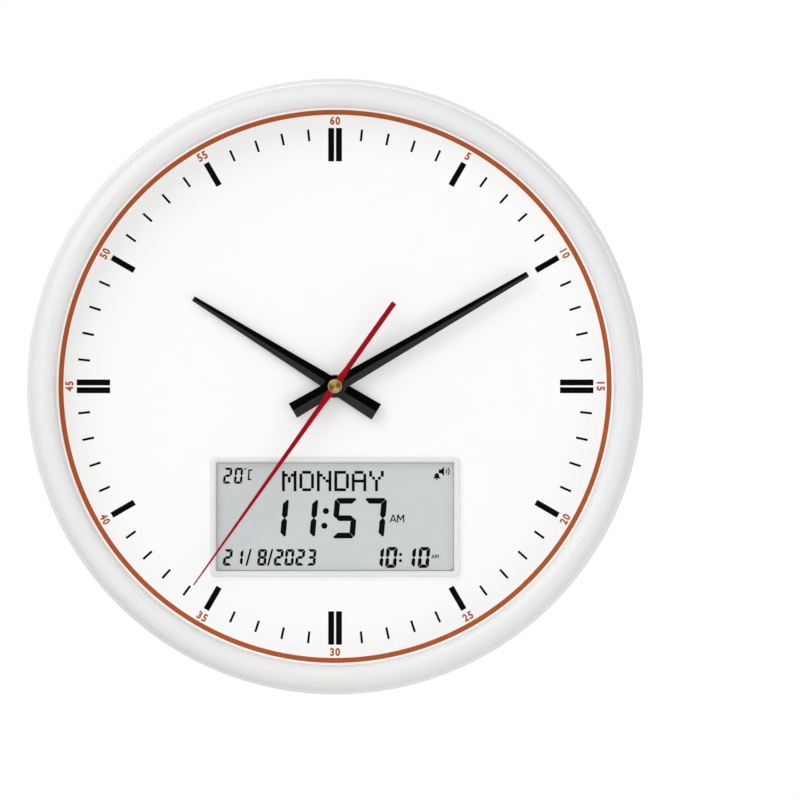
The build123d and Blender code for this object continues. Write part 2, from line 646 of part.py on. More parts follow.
with BuildPart() as module_housing:
    with BuildSketch(facing(module_back, z=display_z)):
        RectangleRounded(module_width, module_height, MODULE_CORNER)
    extrude(amount=plate_low - module_back)
    with BuildSketch(facing(panel_top, z=display_z)):
        RectangleRounded(
            module_width - 2 * MODULE_WALL, module_height - 2 * MODULE_WALL, MODULE_CORNER - MODULE_WALL
        )
    extrude(amount=plate_low - panel_top, mode=Mode.SUBTRACT)
    # columns for the module's own screws and posts for the board's
    with BuildSketch(facing(panel_top)):
        with Locations(*column_spots):
            Circle(MODULE_COLUMN_DIAMETER / 2)
    extrude(amount=boss_low - panel_top)
    with BuildSketch(facing(panel_top)):
        with Locations(*board_spots):
            Circle(BOARD_POST_DIAMETER / 2)
    extrude(amount=board_low - panel_top)
    with BuildSketch(facing(board_low - BOARD_SCREW_BITE)):
        with Locations(*board_spots):
            Circle(BOARD_SCREW_DIAMETER / 2 + SCREW_FIT)
    extrude(amount=BOARD_SCREW_BITE, mode=Mode.SUBTRACT)
    # battery bay
    with BuildSketch(facing(panel_top, bay_x, bay_z)):
        Rectangle(bay_length + 2 * BAY_WALL, bay_height + 2 * BAY_WALL)
    extrude(amount=roof_low + BAY_ROOF - panel_top)
    with BuildSketch(facing(module_back, bay_x, bay_z)):
        Rectangle(bay_length, bay_height)
    extrude(amount=roof_low - module_back, mode=Mode.SUBTRACT)
    with BuildSketch(facing(module_back, bay_x, bay_z)):
        Rectangle(door_size[0] + 2 * DOOR_GAP, door_size[1] + 2 * DOOR_GAP)
    extrude(amount=PANEL_THICKNESS, mode=Mode.SUBTRACT)
    # speaker seat and grille
    with BuildSketch(facing(panel_top, speaker_x, bay_z)):
        Circle(SPEAKER_DIAMETER / 2 + WINDOW_FIT + MODULE_WALL)
        Circle(SPEAKER_DIAMETER / 2 + WINDOW_FIT, mode=Mode.SUBTRACT)
    extrude(amount=SPEAKER_DEPTH)
    with BuildSketch(facing(module_back, speaker_x, bay_z)):
        for row in slot_rows:
            chord = 2 * sqrt((GRILLE_DIAMETER / 2) ** 2 - (row * GRILLE_PITCH) ** 2)
            with Locations((0, row * GRILLE_PITCH)):
                SlotOverall(chord, GRILLE_SLOT)
    extrude(amount=PANEL_THICKNESS, mode=Mode.SUBTRACT)
    # key board stakes
    with BuildSketch(facing(panel_top)):
        with Locations(*stake_spots):
            Circle(STAKE_DIAMETER / 2)
    extrude(amount=key_board_low - panel_top)
    with BuildSketch(facing(key_board_low)):
        with Locations(*stake_spots):
            Circle(STAKE_DIAMETER / 4)
    extrude(amount=KEY_BOARD_THICKNESS + 0.6)
    # openings for the keys and the sound slider
    with BuildSketch(facing(module_back)):
        with Locations(*key_spots):
            SlotOverall(KEY_WIDTH + 2 * KEY_CLEARANCE, KEY_HEIGHT + 2 * KEY_CLEARANCE)
        with Locations((slider_x, key_z)):
            Rectangle(slider_slot, SLIDER_SLOT_HEIGHT)
    extrude(amount=PANEL_THICKNESS, mode=Mode.SUBTRACT)
    # screw shanks and counterbored heads
    with BuildSketch(facing(module_back)):
        with Locations(*column_spots):
            Circle(SCREW_DIAMETER / 2 + SCREW_FIT)
    extrude(amount=boss_low - module_back, mode=Mode.SUBTRACT)
    with BuildSketch(facing(module_back)):
        with Locations(*column_spots):
            Circle(SCREW_HEAD_DIAMETER / 2 + SCREW_FIT)
    extrude(amount=SCREW_HEAD_HEIGHT + WINDOW_FIT, mode=Mode.SUBTRACT)
module_housing.part.label = "module_housing"

with BuildPart() as module_screws:
    for x, z in column_spots:
        seat = module_back + SCREW_HEAD_HEIGHT + WINDOW_FIT
        add(
            screw(
                seat,
                x,
                z,
                SCREW_DIAMETER,
                SCREW_HEAD_DIAMETER,
                boss_low + PLATE_BOSS_LENGTH - 1.0 - seat,
                SCREW_HEAD_HEIGHT,
            )
        )
module_screws.part.label = "module_screws"

tongue_x = (DOOR_TONGUE_LENGTH - door_size[0]) / 2

with BuildPart() as battery_door:
    with BuildSketch(facing(module_back, bay_x, bay_z)):
        Rectangle(*door_size)
        for side in (-1, 1):
            with Locations((tongue_x, side * (DOOR_TONGUE_WIDTH + DOOR_TONGUE_SLOT) / 2)):
                Rectangle(DOOR_TONGUE_LENGTH, DOOR_TONGUE_SLOT, mode=Mode.SUBTRACT)
    extrude(amount=PANEL_THICKNESS)
    with BuildSketch(facing(module_back, bay_x - door_size[0] / 2 + DOOR_GRIP_EDGE, bay_z)):
        with GridLocations(DOOR_GRIP_PITCH, 0, DOOR_GRIP_COUNT, 1):
            Rectangle(DOOR_GRIP_WIDTH, DOOR_GRIP_LENGTH)
    extrude(amount=PANEL_THICKNESS / 3, mode=Mode.SUBTRACT)
battery_door.part.label = "battery_door"


def battery(height, x, z, pole):
    """Dry cell lying along X with its button towards pole, +1 or -1."""
    base = x - pole * BATTERY_LENGTH / 2
    shoulder = x + pole * (BATTERY_LENGTH / 2 - BUTTON_LENGTH)
    with BuildPart() as made:
        with BuildSketch(Plane(origin=(base, -height, z), z_dir=(pole, 0, 0))):
            Circle(BATTERY_DIAMETER / 2)
        extrude(amount=BATTERY_LENGTH - BUTTON_LENGTH)
        with BuildSketch(Plane(origin=(shoulder, -height, z), z_dir=(pole, 0, 0))):
            Circle(BUTTON_DIAMETER / 2)
        extrude(amount=BUTTON_LENGTH)
    return made.part


def leaf_contact(height, x, z, side, space):
    """Bent strip contact between a bay's end wall at x and a cell's end, side +1 on the right of the bay."""
    gauge = CONTACT_GAUGE
    with BuildPart() as made:
        with BuildSketch(Plane(origin=(x, -height, z), x_dir=(-side, 0, 0), z_dir=(0, 0, 1))):
            add(
                outline(
                    (0, -CONTACT_WIDTH / 2),
                    (gauge, -CONTACT_WIDTH / 2),
                    (gauge, CONTACT_WIDTH / 2 - gauge),
                    (space - gauge, CONTACT_WIDTH / 4),
                    (space - gauge, -CONTACT_WIDTH / 4),
                    (space, -CONTACT_WIDTH / 4),
                    (space, CONTACT_WIDTH / 4 + gauge),
                    (gauge, CONTACT_WIDTH / 2 + gauge),
                    (0, CONTACT_WIDTH / 2 + gauge),
                )
            )
        extrude(amount=CONTACT_WIDTH / 2, both=True)
    return made.part


bay_cells = [(bay_z + side * (BATTERY_DIAMETER + BATTERY_SPACING) / 2, side) for side in (1, -1)]
with BuildPart() as module_cells:
    for z, pole in bay_cells:
        add(battery(cell_axis, bay_x, z, pole))
module_cells.part.label = "module_cells"

with BuildPart() as module_contacts:
    for z, _ in bay_cells:
        for side in (-1, 1):
            add(leaf_contact(cell_axis, bay_x + side * bay_length / 2, z, side, CONTACT_SPACE))
module_contacts.part.label = "module_contacts"

with BuildPart() as main_board:
    with BuildSketch(facing(board_low, z=display_z)):
        Rectangle(board_width, board_height)
        with GridLocations(2 * board_screw_x, 2 * board_screw_z, 2, 2):
            Circle(BOARD_SCREW_DIAMETER / 2 + SCREW_FIT, mode=Mode.SUBTRACT)
    extrude(amount=BOARD_THICKNESS)
main_board.part.label = "main_board"

with BuildPart() as board_screws:
    for x, z in board_spots:
        with BuildSketch(facing(board_top, x, z)):
            Circle(BOARD_SCREW_DIAMETER * 0.95)
        extrude(amount=BOARD_SCREW_DIAMETER * 0.6)
        with BuildSketch(facing(board_top - BOARD_THICKNESS - BOARD_SCREW_BITE + 0.5, x, z)):
            Circle(BOARD_SCREW_DIAMETER / 2)
        extrude(amount=BOARD_THICKNESS + BOARD_SCREW_BITE - 0.5)
board_screws.part.label = "board_screws"

with BuildPart() as board_chips:
    for x, width, height, depth in (PROCESSOR, MEMORY, OSCILLATOR):
        with BuildSketch(facing(board_low - depth, x, key_z)):
            Rectangle(width, height)
        extrude(amount=depth)
board_chips.part.label = "board_chips"

with BuildPart() as speaker_frame:
    with BuildSketch(section(speaker_x, bay_z)):
        rim = SPEAKER_DIAMETER / 2
        hub = MAGNET_DIAMETER / 2
        add(
            outline(
                (rim, panel_top),
                (rim, panel_top + 1.0),
                (rim - 3.0, panel_top + 1.0),
                (hub + 1.0, speaker_top + 2.0),
                (0, speaker_top + 2.0),
                (0, speaker_top + 1.2),
                (hub, speaker_top + 1.2),
                (rim - 3.6, panel_top + 0.2),
                (rim - 3.6, panel_top),
            )
        )
    revolve(axis=axis_at(speaker_x, bay_z))
speaker_frame.part.label = "speaker_frame"

with BuildPart() as speaker_cone:
    with BuildSketch(section(speaker_x, bay_z)):
        low = panel_top + 0.3
        wide = SPEAKER_DIAMETER / 2 - 4.0
        add(
            outline(
                (wide, low),
                (wide - 1.5, low + CONE_GAUGE),
                (5.0, speaker_top),
                (0, speaker_top - 1.5),
                (0, speaker_top - 1.5 - CONE_GAUGE),
                (5.0, speaker_top - CONE_GAUGE),
                (wide - 2.0, low),
            )
        )
    revolve(axis=axis_at(speaker_x, bay_z))
speaker_cone.part.label = "speaker_cone"

with BuildPart() as speaker_magnet:
    with BuildSketch(facing(speaker_top + 2.0, speaker_x, bay_z)):
        Circle(MAGNET_DIAMETER / 2)
    extrude(amount=MAGNET_THICKNESS)
    with BuildSketch(facing(speaker_top + 2.0 + MAGNET_THICKNESS, speaker_x, bay_z)):
        Circle(MAGNET_DIAMETER / 2 - 1.5)
    extrude(amount=1.2)
speaker_magnet.part.label = "speaker_magnet"

with BuildPart() as key_board:
    with BuildSketch(facing(key_board_low, sum(key_board_span) / 2, key_z)):
        Rectangle(key_board_span[1] - key_board_span[0], KEY_BOARD_HEIGHT)
    extrude(amount=KEY_BOARD_THICKNESS)
    with BuildSketch(facing(key_board_low)):
        with Locations(*stake_spots):
            Circle(STAKE_DIAMETER / 4 + SCREW_FIT)
    extrude(amount=KEY_BOARD_THICKNESS, mode=Mode.SUBTRACT)
key_board.part.label = "key_board"

with BuildPart() as key_switches:
    for x, z in key_spots:
        with BuildSketch(facing(switch_low, x, z)):
            Rectangle(SWITCH_SIZE, SWITCH_SIZE)
        extrude(amount=SWITCH_BODY)
        with BuildSketch(facing(plunger_low, x, z)):
            Circle(SWITCH_SIZE * 0.29)
        extrude(amount=SWITCH_PLUNGER)
key_switches.part.label = "key_switches"


def push_button(x, z, label):
    """Push button whose flange is trapped behind the module's back panel."""
    with BuildPart() as made:
        with BuildSketch(facing(module_back - KEY_PROUD, x, z)):
            SlotOverall(KEY_WIDTH, KEY_HEIGHT)
        extrude(amount=panel_top + KEY_CLEARANCE / 2 - module_back + KEY_PROUD)
        chamfer(made.faces().sort_by(Axis.Y)[-1].edges(), KEY_PROUD / 4)
        with BuildSketch(facing(panel_top + KEY_CLEARANCE / 2, x, z)):
            SlotOverall(KEY_WIDTH + 2 * KEY_FLANGE, KEY_HEIGHT + 2 * KEY_FLANGE)
        extrude(amount=KEY_FLANGE_THICKNESS)
    made.part.label = label
    return made


buttons = [
    push_button(x, z, label)
    for (x, z), label in zip(
        key_spots, ("mode_button", "up_button", "down_button", "azan_button", "alarm_button", "light_button")
    )
]

with BuildPart() as sound_slider:
    with BuildSketch(facing(module_back - KEY_PROUD, slider_x - SLIDER_TRAVEL / 2, key_z)):
        Rectangle(SLIDER_KNOB, SLIDER_SLOT_HEIGHT - 2 * KEY_CLEARANCE)
    extrude(amount=panel_top + KEY_CLEARANCE / 2 - module_back + KEY_PROUD)
    with BuildSketch(facing(panel_top + KEY_CLEARANCE / 2, slider_x - SLIDER_TRAVEL / 2, key_z)):
        Rectangle(SLIDER_KNOB + 2 * KEY_FLANGE, SLIDER_SLOT_HEIGHT + 2 * KEY_FLANGE)
    extrude(amount=KEY_FLANGE_THICKNESS)
sound_slider.part.label = "sound_slider"

with BuildPart() as slider_switch:
    with BuildSketch(facing(flange_high + KEY_CLEARANCE, slider_x, key_z)):
        Rectangle(SLIDER_TRAVEL + 8.0, SLIDER_SLOT_HEIGHT + 2 * KEY_FLANGE + 1.0)
    extrude(amount=key_board_low - flange_high - KEY_CLEARANCE)
slider_switch.part.label = "slider_switch"

# ---------------------------------------------------------------- quartz movement: fixed pieces

movement_floor = movement_back + MOVEMENT_WALL
movement_ceiling = movement_top - MOVEMENT_WALL
cell_z = -movement_size / 2 + MOVEMENT_WALL + BATTERY_DIAMETER / 2 + BATTERY_PLAY
divider_low = cell_z + BATTERY_DIAMETER / 2 + BATTERY_PLAY
divider_high = divider_low + divider_wall
movement_cell_axis = movement_back + BATTERY_PLAY + BATTERY_DIAMETER / 2
chamber_top = movement_size / 2 - MOVEMENT_WALL
chamber_half = movement_size / 2 - MOVEMENT_WALL

third_distance = (THIRD_PINION + CENTRE_TEETH) * CENTRE_MODULE / 2
third_module = 2 * third_distance / (SECOND_PINION + THIRD_TEETH)
motion_distance = (CANNON_TEETH + MOTION_TEETH) * CANNON_MODULE / 2
hour_module = 2 * motion_distance / (MOTION_PINION + HOUR_TEETH)
intermediate_distance = (INTERMEDIATE_PINION + SECOND_TEETH) * TRAIN_MODULE / 2
rotor_distance = (ROTOR_TEETH + INTERMEDIATE_TEETH) * TRAIN_MODULE / 2


def polar(centre, distance, bearing):
    return (centre[0] + distance * cos(radians(bearing)), centre[1] + distance * sin(radians(bearing)))


CENTRE = (0.0, 0.0)
THIRD = polar(CENTRE, third_distance, 150)
MOTION = polar(CENTRE, motion_distance, 20)
INTERMEDIATE = polar(CENTRE, intermediate_distance, 75)
ROTOR = polar(INTERMEDIATE, rotor_distance, 30)

# levels of the train, each the underside of its wheel
arbor_low = movement_floor - 0.3
rotor_level = movement_floor + ROTOR_RISE
second_level = rotor_level + SECOND_RISE
third_level = second_level + THIRD_RISE
bearing_low = third_level + WHEEL_THICKNESS + PLATE_GAP
bearing_top = bearing_low + BEARING_PLATE_THICKNESS
centre_level = bearing_top + PLATE_GAP
motion_level = centre_level + MOTION_RISE
hour_level = motion_level + HOUR_RISE
PINION_LAP = (PINION_LENGTH - WHEEL_THICKNESS) / 2

pivots = [CENTRE, THIRD, INTERMEDIATE, ROTOR]
coil_z = chamber_top - COIL_DIAMETER / 2 - 0.6
stator_level = second_level + 1.4
core_level = stator_level + STATOR_THICKNESS
movement_board_x = -chamber_half + MOVEMENT_BOARD_SIDE + MOVEMENT_BOARD_LENGTH / 2
coil_x = movement_board_x + MOVEMENT_BOARD_LENGTH / 2 + COIL_SPACE + CORE_REACH + COIL_LENGTH / 2
stator_ends = (coil_x - COIL_LENGTH / 2 - CORE_REACH, coil_x + COIL_LENGTH / 2 + CORE_REACH)
bearing_plate_top = coil_z - COIL_DIAMETER / 2 - 0.6
pillar_rows = (divider_high + PILLAR_LOW, bearing_plate_top - PILLAR_HIGH)
pillar_spots = [(sx * (chamber_half - PILLAR_SIDE), z) for z in pillar_rows for sx in (-1, 1)]
movement_board_low = stator_level

with BuildPart() as movement_case:
    with BuildSketch(facing(movement_back)):
        RectangleRounded(movement_size, movement_size, MOVEMENT_CORNER)
    extrude(amount=movement_ceiling - movement_back)
    with BuildSketch(facing(movement_floor, z=(divider_high + chamber_top) / 2)):
        RectangleRounded(2 * chamber_half, chamber_top - divider_high, MOVEMENT_CORNER - MOVEMENT_WALL)
    extrude(amount=movement_ceiling - movement_floor, mode=Mode.SUBTRACT)
    with BuildSketch(facing(movement_back, z=cell_z)):
        Rectangle(2 * chamber_half, BATTERY_DIAMETER + 2 * BATTERY_PLAY)
    extrude(amount=movement_ceiling - movement_back, mode=Mode.SUBTRACT)
    with BuildSketch(facing(movement_floor)):
        with Locations(*pillar_spots):
            Circle(PILLAR_DIAMETER / 2)
    extrude(amount=bearing_low - movement_floor)
    with BuildSketch(facing(movement_floor)):
        with Locations(*[(movement_board_x + side * MOVEMENT_BOARD_POST, coil_z) for side in (-1, 1)]):
            Circle(1.6)
    extrude(amount=movement_board_low - movement_floor)
    with BuildSketch(facing(movement_floor)):
        with Locations(*pivots):
            Circle(1.5)
    extrude(amount=0.6)
    with BuildSketch(facing(arbor_low - 0.2)):
        with Locations(*pivots):
            Circle(ARBOR_DIAMETER / 2 + SHAFT_CLEARANCE)
    extrude(amount=movement_floor + 0.6 - arbor_low + 0.2, mode=Mode.SUBTRACT)
    with BuildSketch(facing(movement_back, *MOTION)):
        Circle(SETTING_ARBOR_DIAMETER / 2 + SHAFT_CLEARANCE)
    extrude(amount=MOVEMENT_WALL, mode=Mode.SUBTRACT)
movement_case.part.label = "movement_case"

with BuildPart() as movement_plate:
    with BuildSketch(facing(movement_ceiling)):
        RectangleRounded(movement_size, movement_size, MOVEMENT_CORNER)
        Circle(BUSH_DIAMETER / 2, mode=Mode.SUBTRACT)
    extrude(amount=MOVEMENT_WALL)
    with BuildSketch(facing(movement_ceiling)):
        Circle(BUSH_FLANGE_DIAMETER / 2)
    extrude(amount=BUSH_FLANGE_THICKNESS, mode=Mode.SUBTRACT)
movement_plate.part.label = "movement_plate"

with BuildPart() as threaded_bush:
    with BuildSketch(facing(movement_ceiling)):
        Circle(BUSH_FLANGE_DIAMETER / 2)
    extrude(amount=BUSH_FLANGE_THICKNESS)
    with BuildSketch(facing(movement_ceiling)):
        Circle(BUSH_DIAMETER / 2)
    extrude(amount=dial_top + BUSH_PROUD - movement_ceiling)
    with BuildSketch(facing(movement_ceiling)):
        Circle(PIPE_DIAMETER / 2 + SHAFT_CLEARANCE)
    extrude(amount=dial_top + BUSH_PROUD - movement_ceiling, mode=Mode.SUBTRACT)
threaded_bush.part.label = "threaded_bush"

with BuildPart() as rubber_washer:
    with BuildSketch(facing(movement_top)):
        Circle(RUBBER_DIAMETER / 2)
        Circle(BUSH_DIAMETER / 2 + WINDOW_FIT, mode=Mode.SUBTRACT)
    extrude(amount=RUBBER_THICKNESS)
rubber_washer.part.label = "rubber_washer"

with BuildPart() as fixing_washer:
    with BuildSketch(facing(dial_top)):
        Circle(WASHER_DIAMETER / 2)
        Circle(BUSH_DIAMETER / 2 + SHAFT_CLEARANCE, mode=Mode.SUBTRACT)
    extrude(amount=WASHER_THICKNESS)
fixing_washer.part.label = "fixing_washer"

with BuildPart() as fixing_nut:
    with BuildSketch(facing(dial_top + WASHER_THICKNESS)):
        RegularPolygon(NUT_ACROSS_FLATS / 2, 6, major_radius=False)
        Circle(BUSH_DIAMETER / 2 + SHAFT_CLEARANCE, mode=Mode.SUBTRACT)
    extrude(amount=NUT_THICKNESS)
fixing_nut.part.label = "fixing_nut"

with BuildPart() as bearing_plate:
    with BuildSketch(facing(bearing_low, z=(divider_high + bearing_plate_top) / 2)):
        Rectangle(2 * chamber_half - 1.0, bearing_plate_top - divider_high - 1.0)
    extrude(amount=BEARING_PLATE_THICKNESS)
    with BuildSketch(facing(bearing_low)):
        with Locations(*pivots):
            Circle(ARBOR_DIAMETER / 2 + SHAFT_CLEARANCE)
        with Locations(MOTION):
            Circle(SETTING_ARBOR_DIAMETER / 2 + SHAFT_CLEARANCE)
    extrude(amount=BEARING_PLATE_THICKNESS, mode=Mode.SUBTRACT)
bearing_plate.part.label = "bearing_plate"

with BuildPart() as stator:
    with BuildSketch(facing(stator_level)):
        with Locations(((stator_ends[0] + stator_ends[1]) / 2, ROTOR[1] + 2.0)):
            Rectangle(stator_ends[1] - stator_ends[0], 4.0)
        with Locations(ROTOR):
            Circle(ROTOR_DIAMETER / 2 + STATOR_GAP + 1.6)
        for end, inward in ((stator_ends[0], 1), (stator_ends[1], -1)):
            with Locations((end + inward * 1.5, (ROTOR[1] + coil_z + 1.5) / 2)):
                Rectangle(3.0, coil_z + 1.5 - ROTOR[1])
        with Locations(ROTOR):
            Circle(ROTOR_DIAMETER / 2 + STATOR_GAP, mode=Mode.SUBTRACT)
    extrude(amount=STATOR_THICKNESS)
stator.part.label = "stator"

with BuildPart() as coil:
    with BuildSketch(facing(core_level, z=coil_z)):
        with Locations(((stator_ends[0] + stator_ends[1]) / 2, 0)):
            Rectangle(stator_ends[1] - stator_ends[0], 3.0)
    extrude(amount=STATOR_THICKNESS)
    coil_axis = core_level + STATOR_THICKNESS / 2
    for start, length, diameter in (
        (coil_x - COIL_LENGTH / 2, 1.0, COIL_DIAMETER),
        (coil_x - COIL_LENGTH / 2 + 1.0, COIL_LENGTH - 2.0, COIL_DIAMETER - 1.0),
        (coil_x + COIL_LENGTH / 2 - 1.0, 1.0, COIL_DIAMETER),
    ):
        with BuildSketch(Plane(origin=(start, -coil_axis, coil_z), z_dir=(1, 0, 0))):
            Circle(diameter / 2)
        extrude(amount=length)
coil.part.label = "coil"

with BuildPart() as movement_board:
    with BuildSketch(facing(movement_board_low, movement_board_x, coil_z)):
        Rectangle(MOVEMENT_BOARD_LENGTH, MOVEMENT_BOARD_WIDTH)
    extrude(amount=MOVEMENT_BOARD_THICKNESS)
movement_board.part.label = "movement_board"

with BuildPart() as quartz_crystal:
    crystal_axis = movement_board_low + MOVEMENT_BOARD_THICKNESS + CRYSTAL_DIAMETER / 2
    crystal_end = (movement_board_x - CRYSTAL_LENGTH, -crystal_axis, coil_z + 1.5)
    with BuildSketch(Plane(origin=crystal_end, z_dir=(1, 0, 0))):
        Circle(CRYSTAL_DIAMETER / 2)
    extrude(amount=CRYSTAL_LENGTH)
quartz_crystal.part.label = "quartz_crystal"

with BuildPart() as movement_cell:
    add(battery(movement_cell_axis, 0, cell_z, 1))
movement_cell.part.label = "movement_cell"

with BuildPart() as movement_contacts:
    for side in (-1, 1):
        space = chamber_half - BATTERY_LENGTH / 2
        add(leaf_contact(movement_cell_axis, side * chamber_half, cell_z, side, space))
movement_contacts.part.label = "movement_contacts"

# ---------------------------------------------------------------- quartz movement: running train

arbor_radius = ARBOR_DIAMETER / 2

with BuildPart() as rotor:
    with BuildSketch(facing(arbor_low, *ROTOR)):
        Circle(arbor_radius)
    extrude(amount=bearing_top - arbor_low)
    with BuildSketch(facing(rotor_level - PINION_LAP, *ROTOR)):
        add(gear(ROTOR_TEETH, TRAIN_MODULE, bearing_to(ROTOR, INTERMEDIATE)))
    extrude(amount=PINION_LENGTH)
    with BuildSketch(facing(core_level - ROTOR_LENGTH / 2, *ROTOR)):
        Circle(ROTOR_DIAMETER / 2)
    extrude(amount=ROTOR_LENGTH)
rotor.part.label = "rotor"

with BuildPart() as intermediate_wheel:
    with BuildSketch(facing(arbor_low, *INTERMEDIATE)):
        Circle(arbor_radius)
    extrude(amount=bearing_top - arbor_low)
    with BuildSketch(facing(rotor_level, *INTERMEDIATE)):
        add(gear(INTERMEDIATE_TEETH, TRAIN_MODULE, bearing_to(INTERMEDIATE, ROTOR), gap=True))
    extrude(amount=WHEEL_THICKNESS)
    with BuildSketch(facing(second_level - PINION_LAP, *INTERMEDIATE)):
        add(gear(INTERMEDIATE_PINION, TRAIN_MODULE, bearing_to(INTERMEDIATE, CENTRE)))
    extrude(amount=PINION_LENGTH)
intermediate_wheel.part.label = "intermediate_wheel"

with BuildPart() as second_wheel:
    with BuildSketch(facing(arbor_low)):
        Circle(arbor_radius)
    extrude(amount=second_hand_low + HAND_GAUGE - arbor_low)
    with BuildSketch(facing(second_level)):
        add(gear(SECOND_TEETH, TRAIN_MODULE, bearing_to(CENTRE, INTERMEDIATE), gap=True))
    extrude(amount=WHEEL_THICKNESS)
    with BuildSketch(facing(third_level - PINION_LAP)):
        add(gear(SECOND_PINION, third_module, bearing_to(CENTRE, THIRD)))
    extrude(amount=PINION_LENGTH)
second_wheel.part.label = "second_wheel"

with BuildPart() as third_wheel:
    with BuildSketch(facing(arbor_low, *THIRD)):
        Circle(arbor_radius)
    extrude(amount=centre_level + PINION_LENGTH - arbor_low)
    with BuildSketch(facing(third_level, *THIRD)):
        add(gear(THIRD_TEETH, third_module, bearing_to(THIRD, CENTRE), gap=True))
    extrude(amount=WHEEL_THICKNESS)
    with BuildSketch(facing(centre_level - PINION_LAP, *THIRD)):
        add(gear(THIRD_PINION, CENTRE_MODULE, bearing_to(THIRD, CENTRE)))
    extrude(amount=PINION_LENGTH)
third_wheel.part.label = "third_wheel"

with BuildPart() as centre_wheel:
    with BuildSketch(facing(centre_level)):
        add(gear(CENTRE_TEETH, CENTRE_MODULE, bearing_to(CENTRE, THIRD), gap=True))
        Circle(CANNON_DIAMETER / 2 + SHAFT_CLEARANCE, mode=Mode.SUBTRACT)
    extrude(amount=WHEEL_THICKNESS)
centre_wheel.part.label = "centre_wheel"

# ---------------------------------------------------------------- quartz movement: motion work

cannon_low = bearing_top + 0.15
cannon_top = minute_hand_low + HAND_GAUGE + 0.6
pipe_top = hour_hand_low + HAND_GAUGE + 0.3

with BuildPart() as cannon_pinion:
    with BuildSketch(facing(cannon_low)):
        Circle(CANNON_DIAMETER / 2)
    extrude(amount=cannon_top - cannon_low)
    with BuildSketch(facing(motion_level - PINION_LAP)):
        add(gear(CANNON_TEETH, CANNON_MODULE, bearing_to(CENTRE, MOTION)))
    extrude(amount=PINION_LENGTH)
    with BuildSketch(facing(cannon_low)):
        Circle(ARBOR_DIAMETER / 2 + SHAFT_CLEARANCE)
    extrude(amount=cannon_top - cannon_low, mode=Mode.SUBTRACT)
cannon_pinion.part.label = "cannon_pinion"

with BuildPart() as motion_wheel:
    with BuildSketch(facing(movement_back - SET_KNOB_THICKNESS, *MOTION)):
        Circle(SETTING_ARBOR_DIAMETER / 2)
    extrude(amount=hour_level + WHEEL_THICKNESS - movement_back + SET_KNOB_THICKNESS)
    with BuildSketch(facing(motion_level, *MOTION)):
        add(gear(MOTION_TEETH, CANNON_MODULE, bearing_to(MOTION, CENTRE), gap=True))
    extrude(amount=WHEEL_THICKNESS)
    with BuildSketch(facing(hour_level - PINION_LAP, *MOTION)):
        add(gear(MOTION_PINION, hour_module, bearing_to(MOTION, CENTRE)))
    extrude(amount=PINION_LENGTH)
motion_wheel.part.label = "motion_wheel"

with BuildPart() as set_knob:
    with BuildSketch(facing(movement_back - 0.4 - SET_KNOB_THICKNESS, *MOTION)):
        Circle(SET_KNOB_DIAMETER / 2)
        with PolarLocations(SET_KNOB_DIAMETER / 2 + 0.5, SET_KNOB_FLUTES):
            Circle(0.9, mode=Mode.SUBTRACT)
    extrude(amount=SET_KNOB_THICKNESS)
    with BuildSketch(facing(movement_back - SET_KNOB_THICKNESS, *MOTION)):
        Circle(SETTING_ARBOR_DIAMETER / 2)
    extrude(amount=SET_KNOB_THICKNESS, mode=Mode.SUBTRACT)
set_knob.part.label = "set_knob"

with BuildPart() as hour_wheel:
    with BuildSketch(facing(hour_level)):
        add(gear(HOUR_TEETH, hour_module, bearing_to(CENTRE, MOTION), gap=True))
    extrude(amount=WHEEL_THICKNESS)
    with BuildSketch(facing(hour_level)):
        Circle(PIPE_DIAMETER / 2)
    extrude(amount=pipe_top - hour_level)
    with BuildSketch(facing(hour_level)):
        Circle(CANNON_DIAMETER / 2 + SHAFT_CLEARANCE)
    extrude(amount=pipe_top - hour_level, mode=Mode.SUBTRACT)
hour_wheel.part.label = "hour_wheel"

# ---------------------------------------------------------------- hands


def across(height, angle, distance):
    """Plane square to a hand at that distance from the hand axis, with Y towards the reader."""
    along = (sin(radians(angle)), 0, cos(radians(angle)))
    spot = (along[0] * distance, -height, along[2] * distance)
    return Plane(origin=spot, x_dir=(along[2], 0, -along[0]), z_dir=tuple(-v for v in along))


def folded_section(width):
    """Section of a sheet metal hand, creased along its middle."""
    half, ridge = width / 2, width / 2 * tan(radians(FACET_SLOPE))
    return outline(
        (-half, 0),
        (0, ridge),
        (half, 0),
        (half, HAND_GAUGE),
        (0, ridge + HAND_GAUGE),
        (-half, HAND_GAUGE),
    )


def folded_hand(height, angle, length, tail, tip_width, tail_width, bore, label):
    """Creased hand with a round hub, pointing along the clock angle."""
    hub_top = HAND_GAUGE + 0.3
    with BuildPart() as made:
        for distance, width in ((-tail, tail_width), (length, tip_width)):
            with BuildSketch(across(height, angle, distance)):
                add(folded_section(width))
        loft(ruled=True)
        with BuildSketch(facing(height)):
            Circle(HUB_DIAMETER / 2)
        extrude(amount=hub_top + MINUTE_TAIL_WIDTH / 2 * tan(radians(FACET_SLOPE)))
        with BuildSketch(facing(height)):
            Circle(bore / 2)
        extrude(amount=3 * hub_top, mode=Mode.SUBTRACT)
    made.part.label = label
    return made


def collet(height, top, inner, outer, label):
    """Brass collet riveted into a hand's hub and pressed on its pipe."""
    with BuildPart() as made:
        with BuildSketch(facing(height)):
            Circle(outer / 2)
            Circle(inner / 2, mode=Mode.SUBTRACT)
        extrude(amount=top - height)
    made.part.label = label
    return made


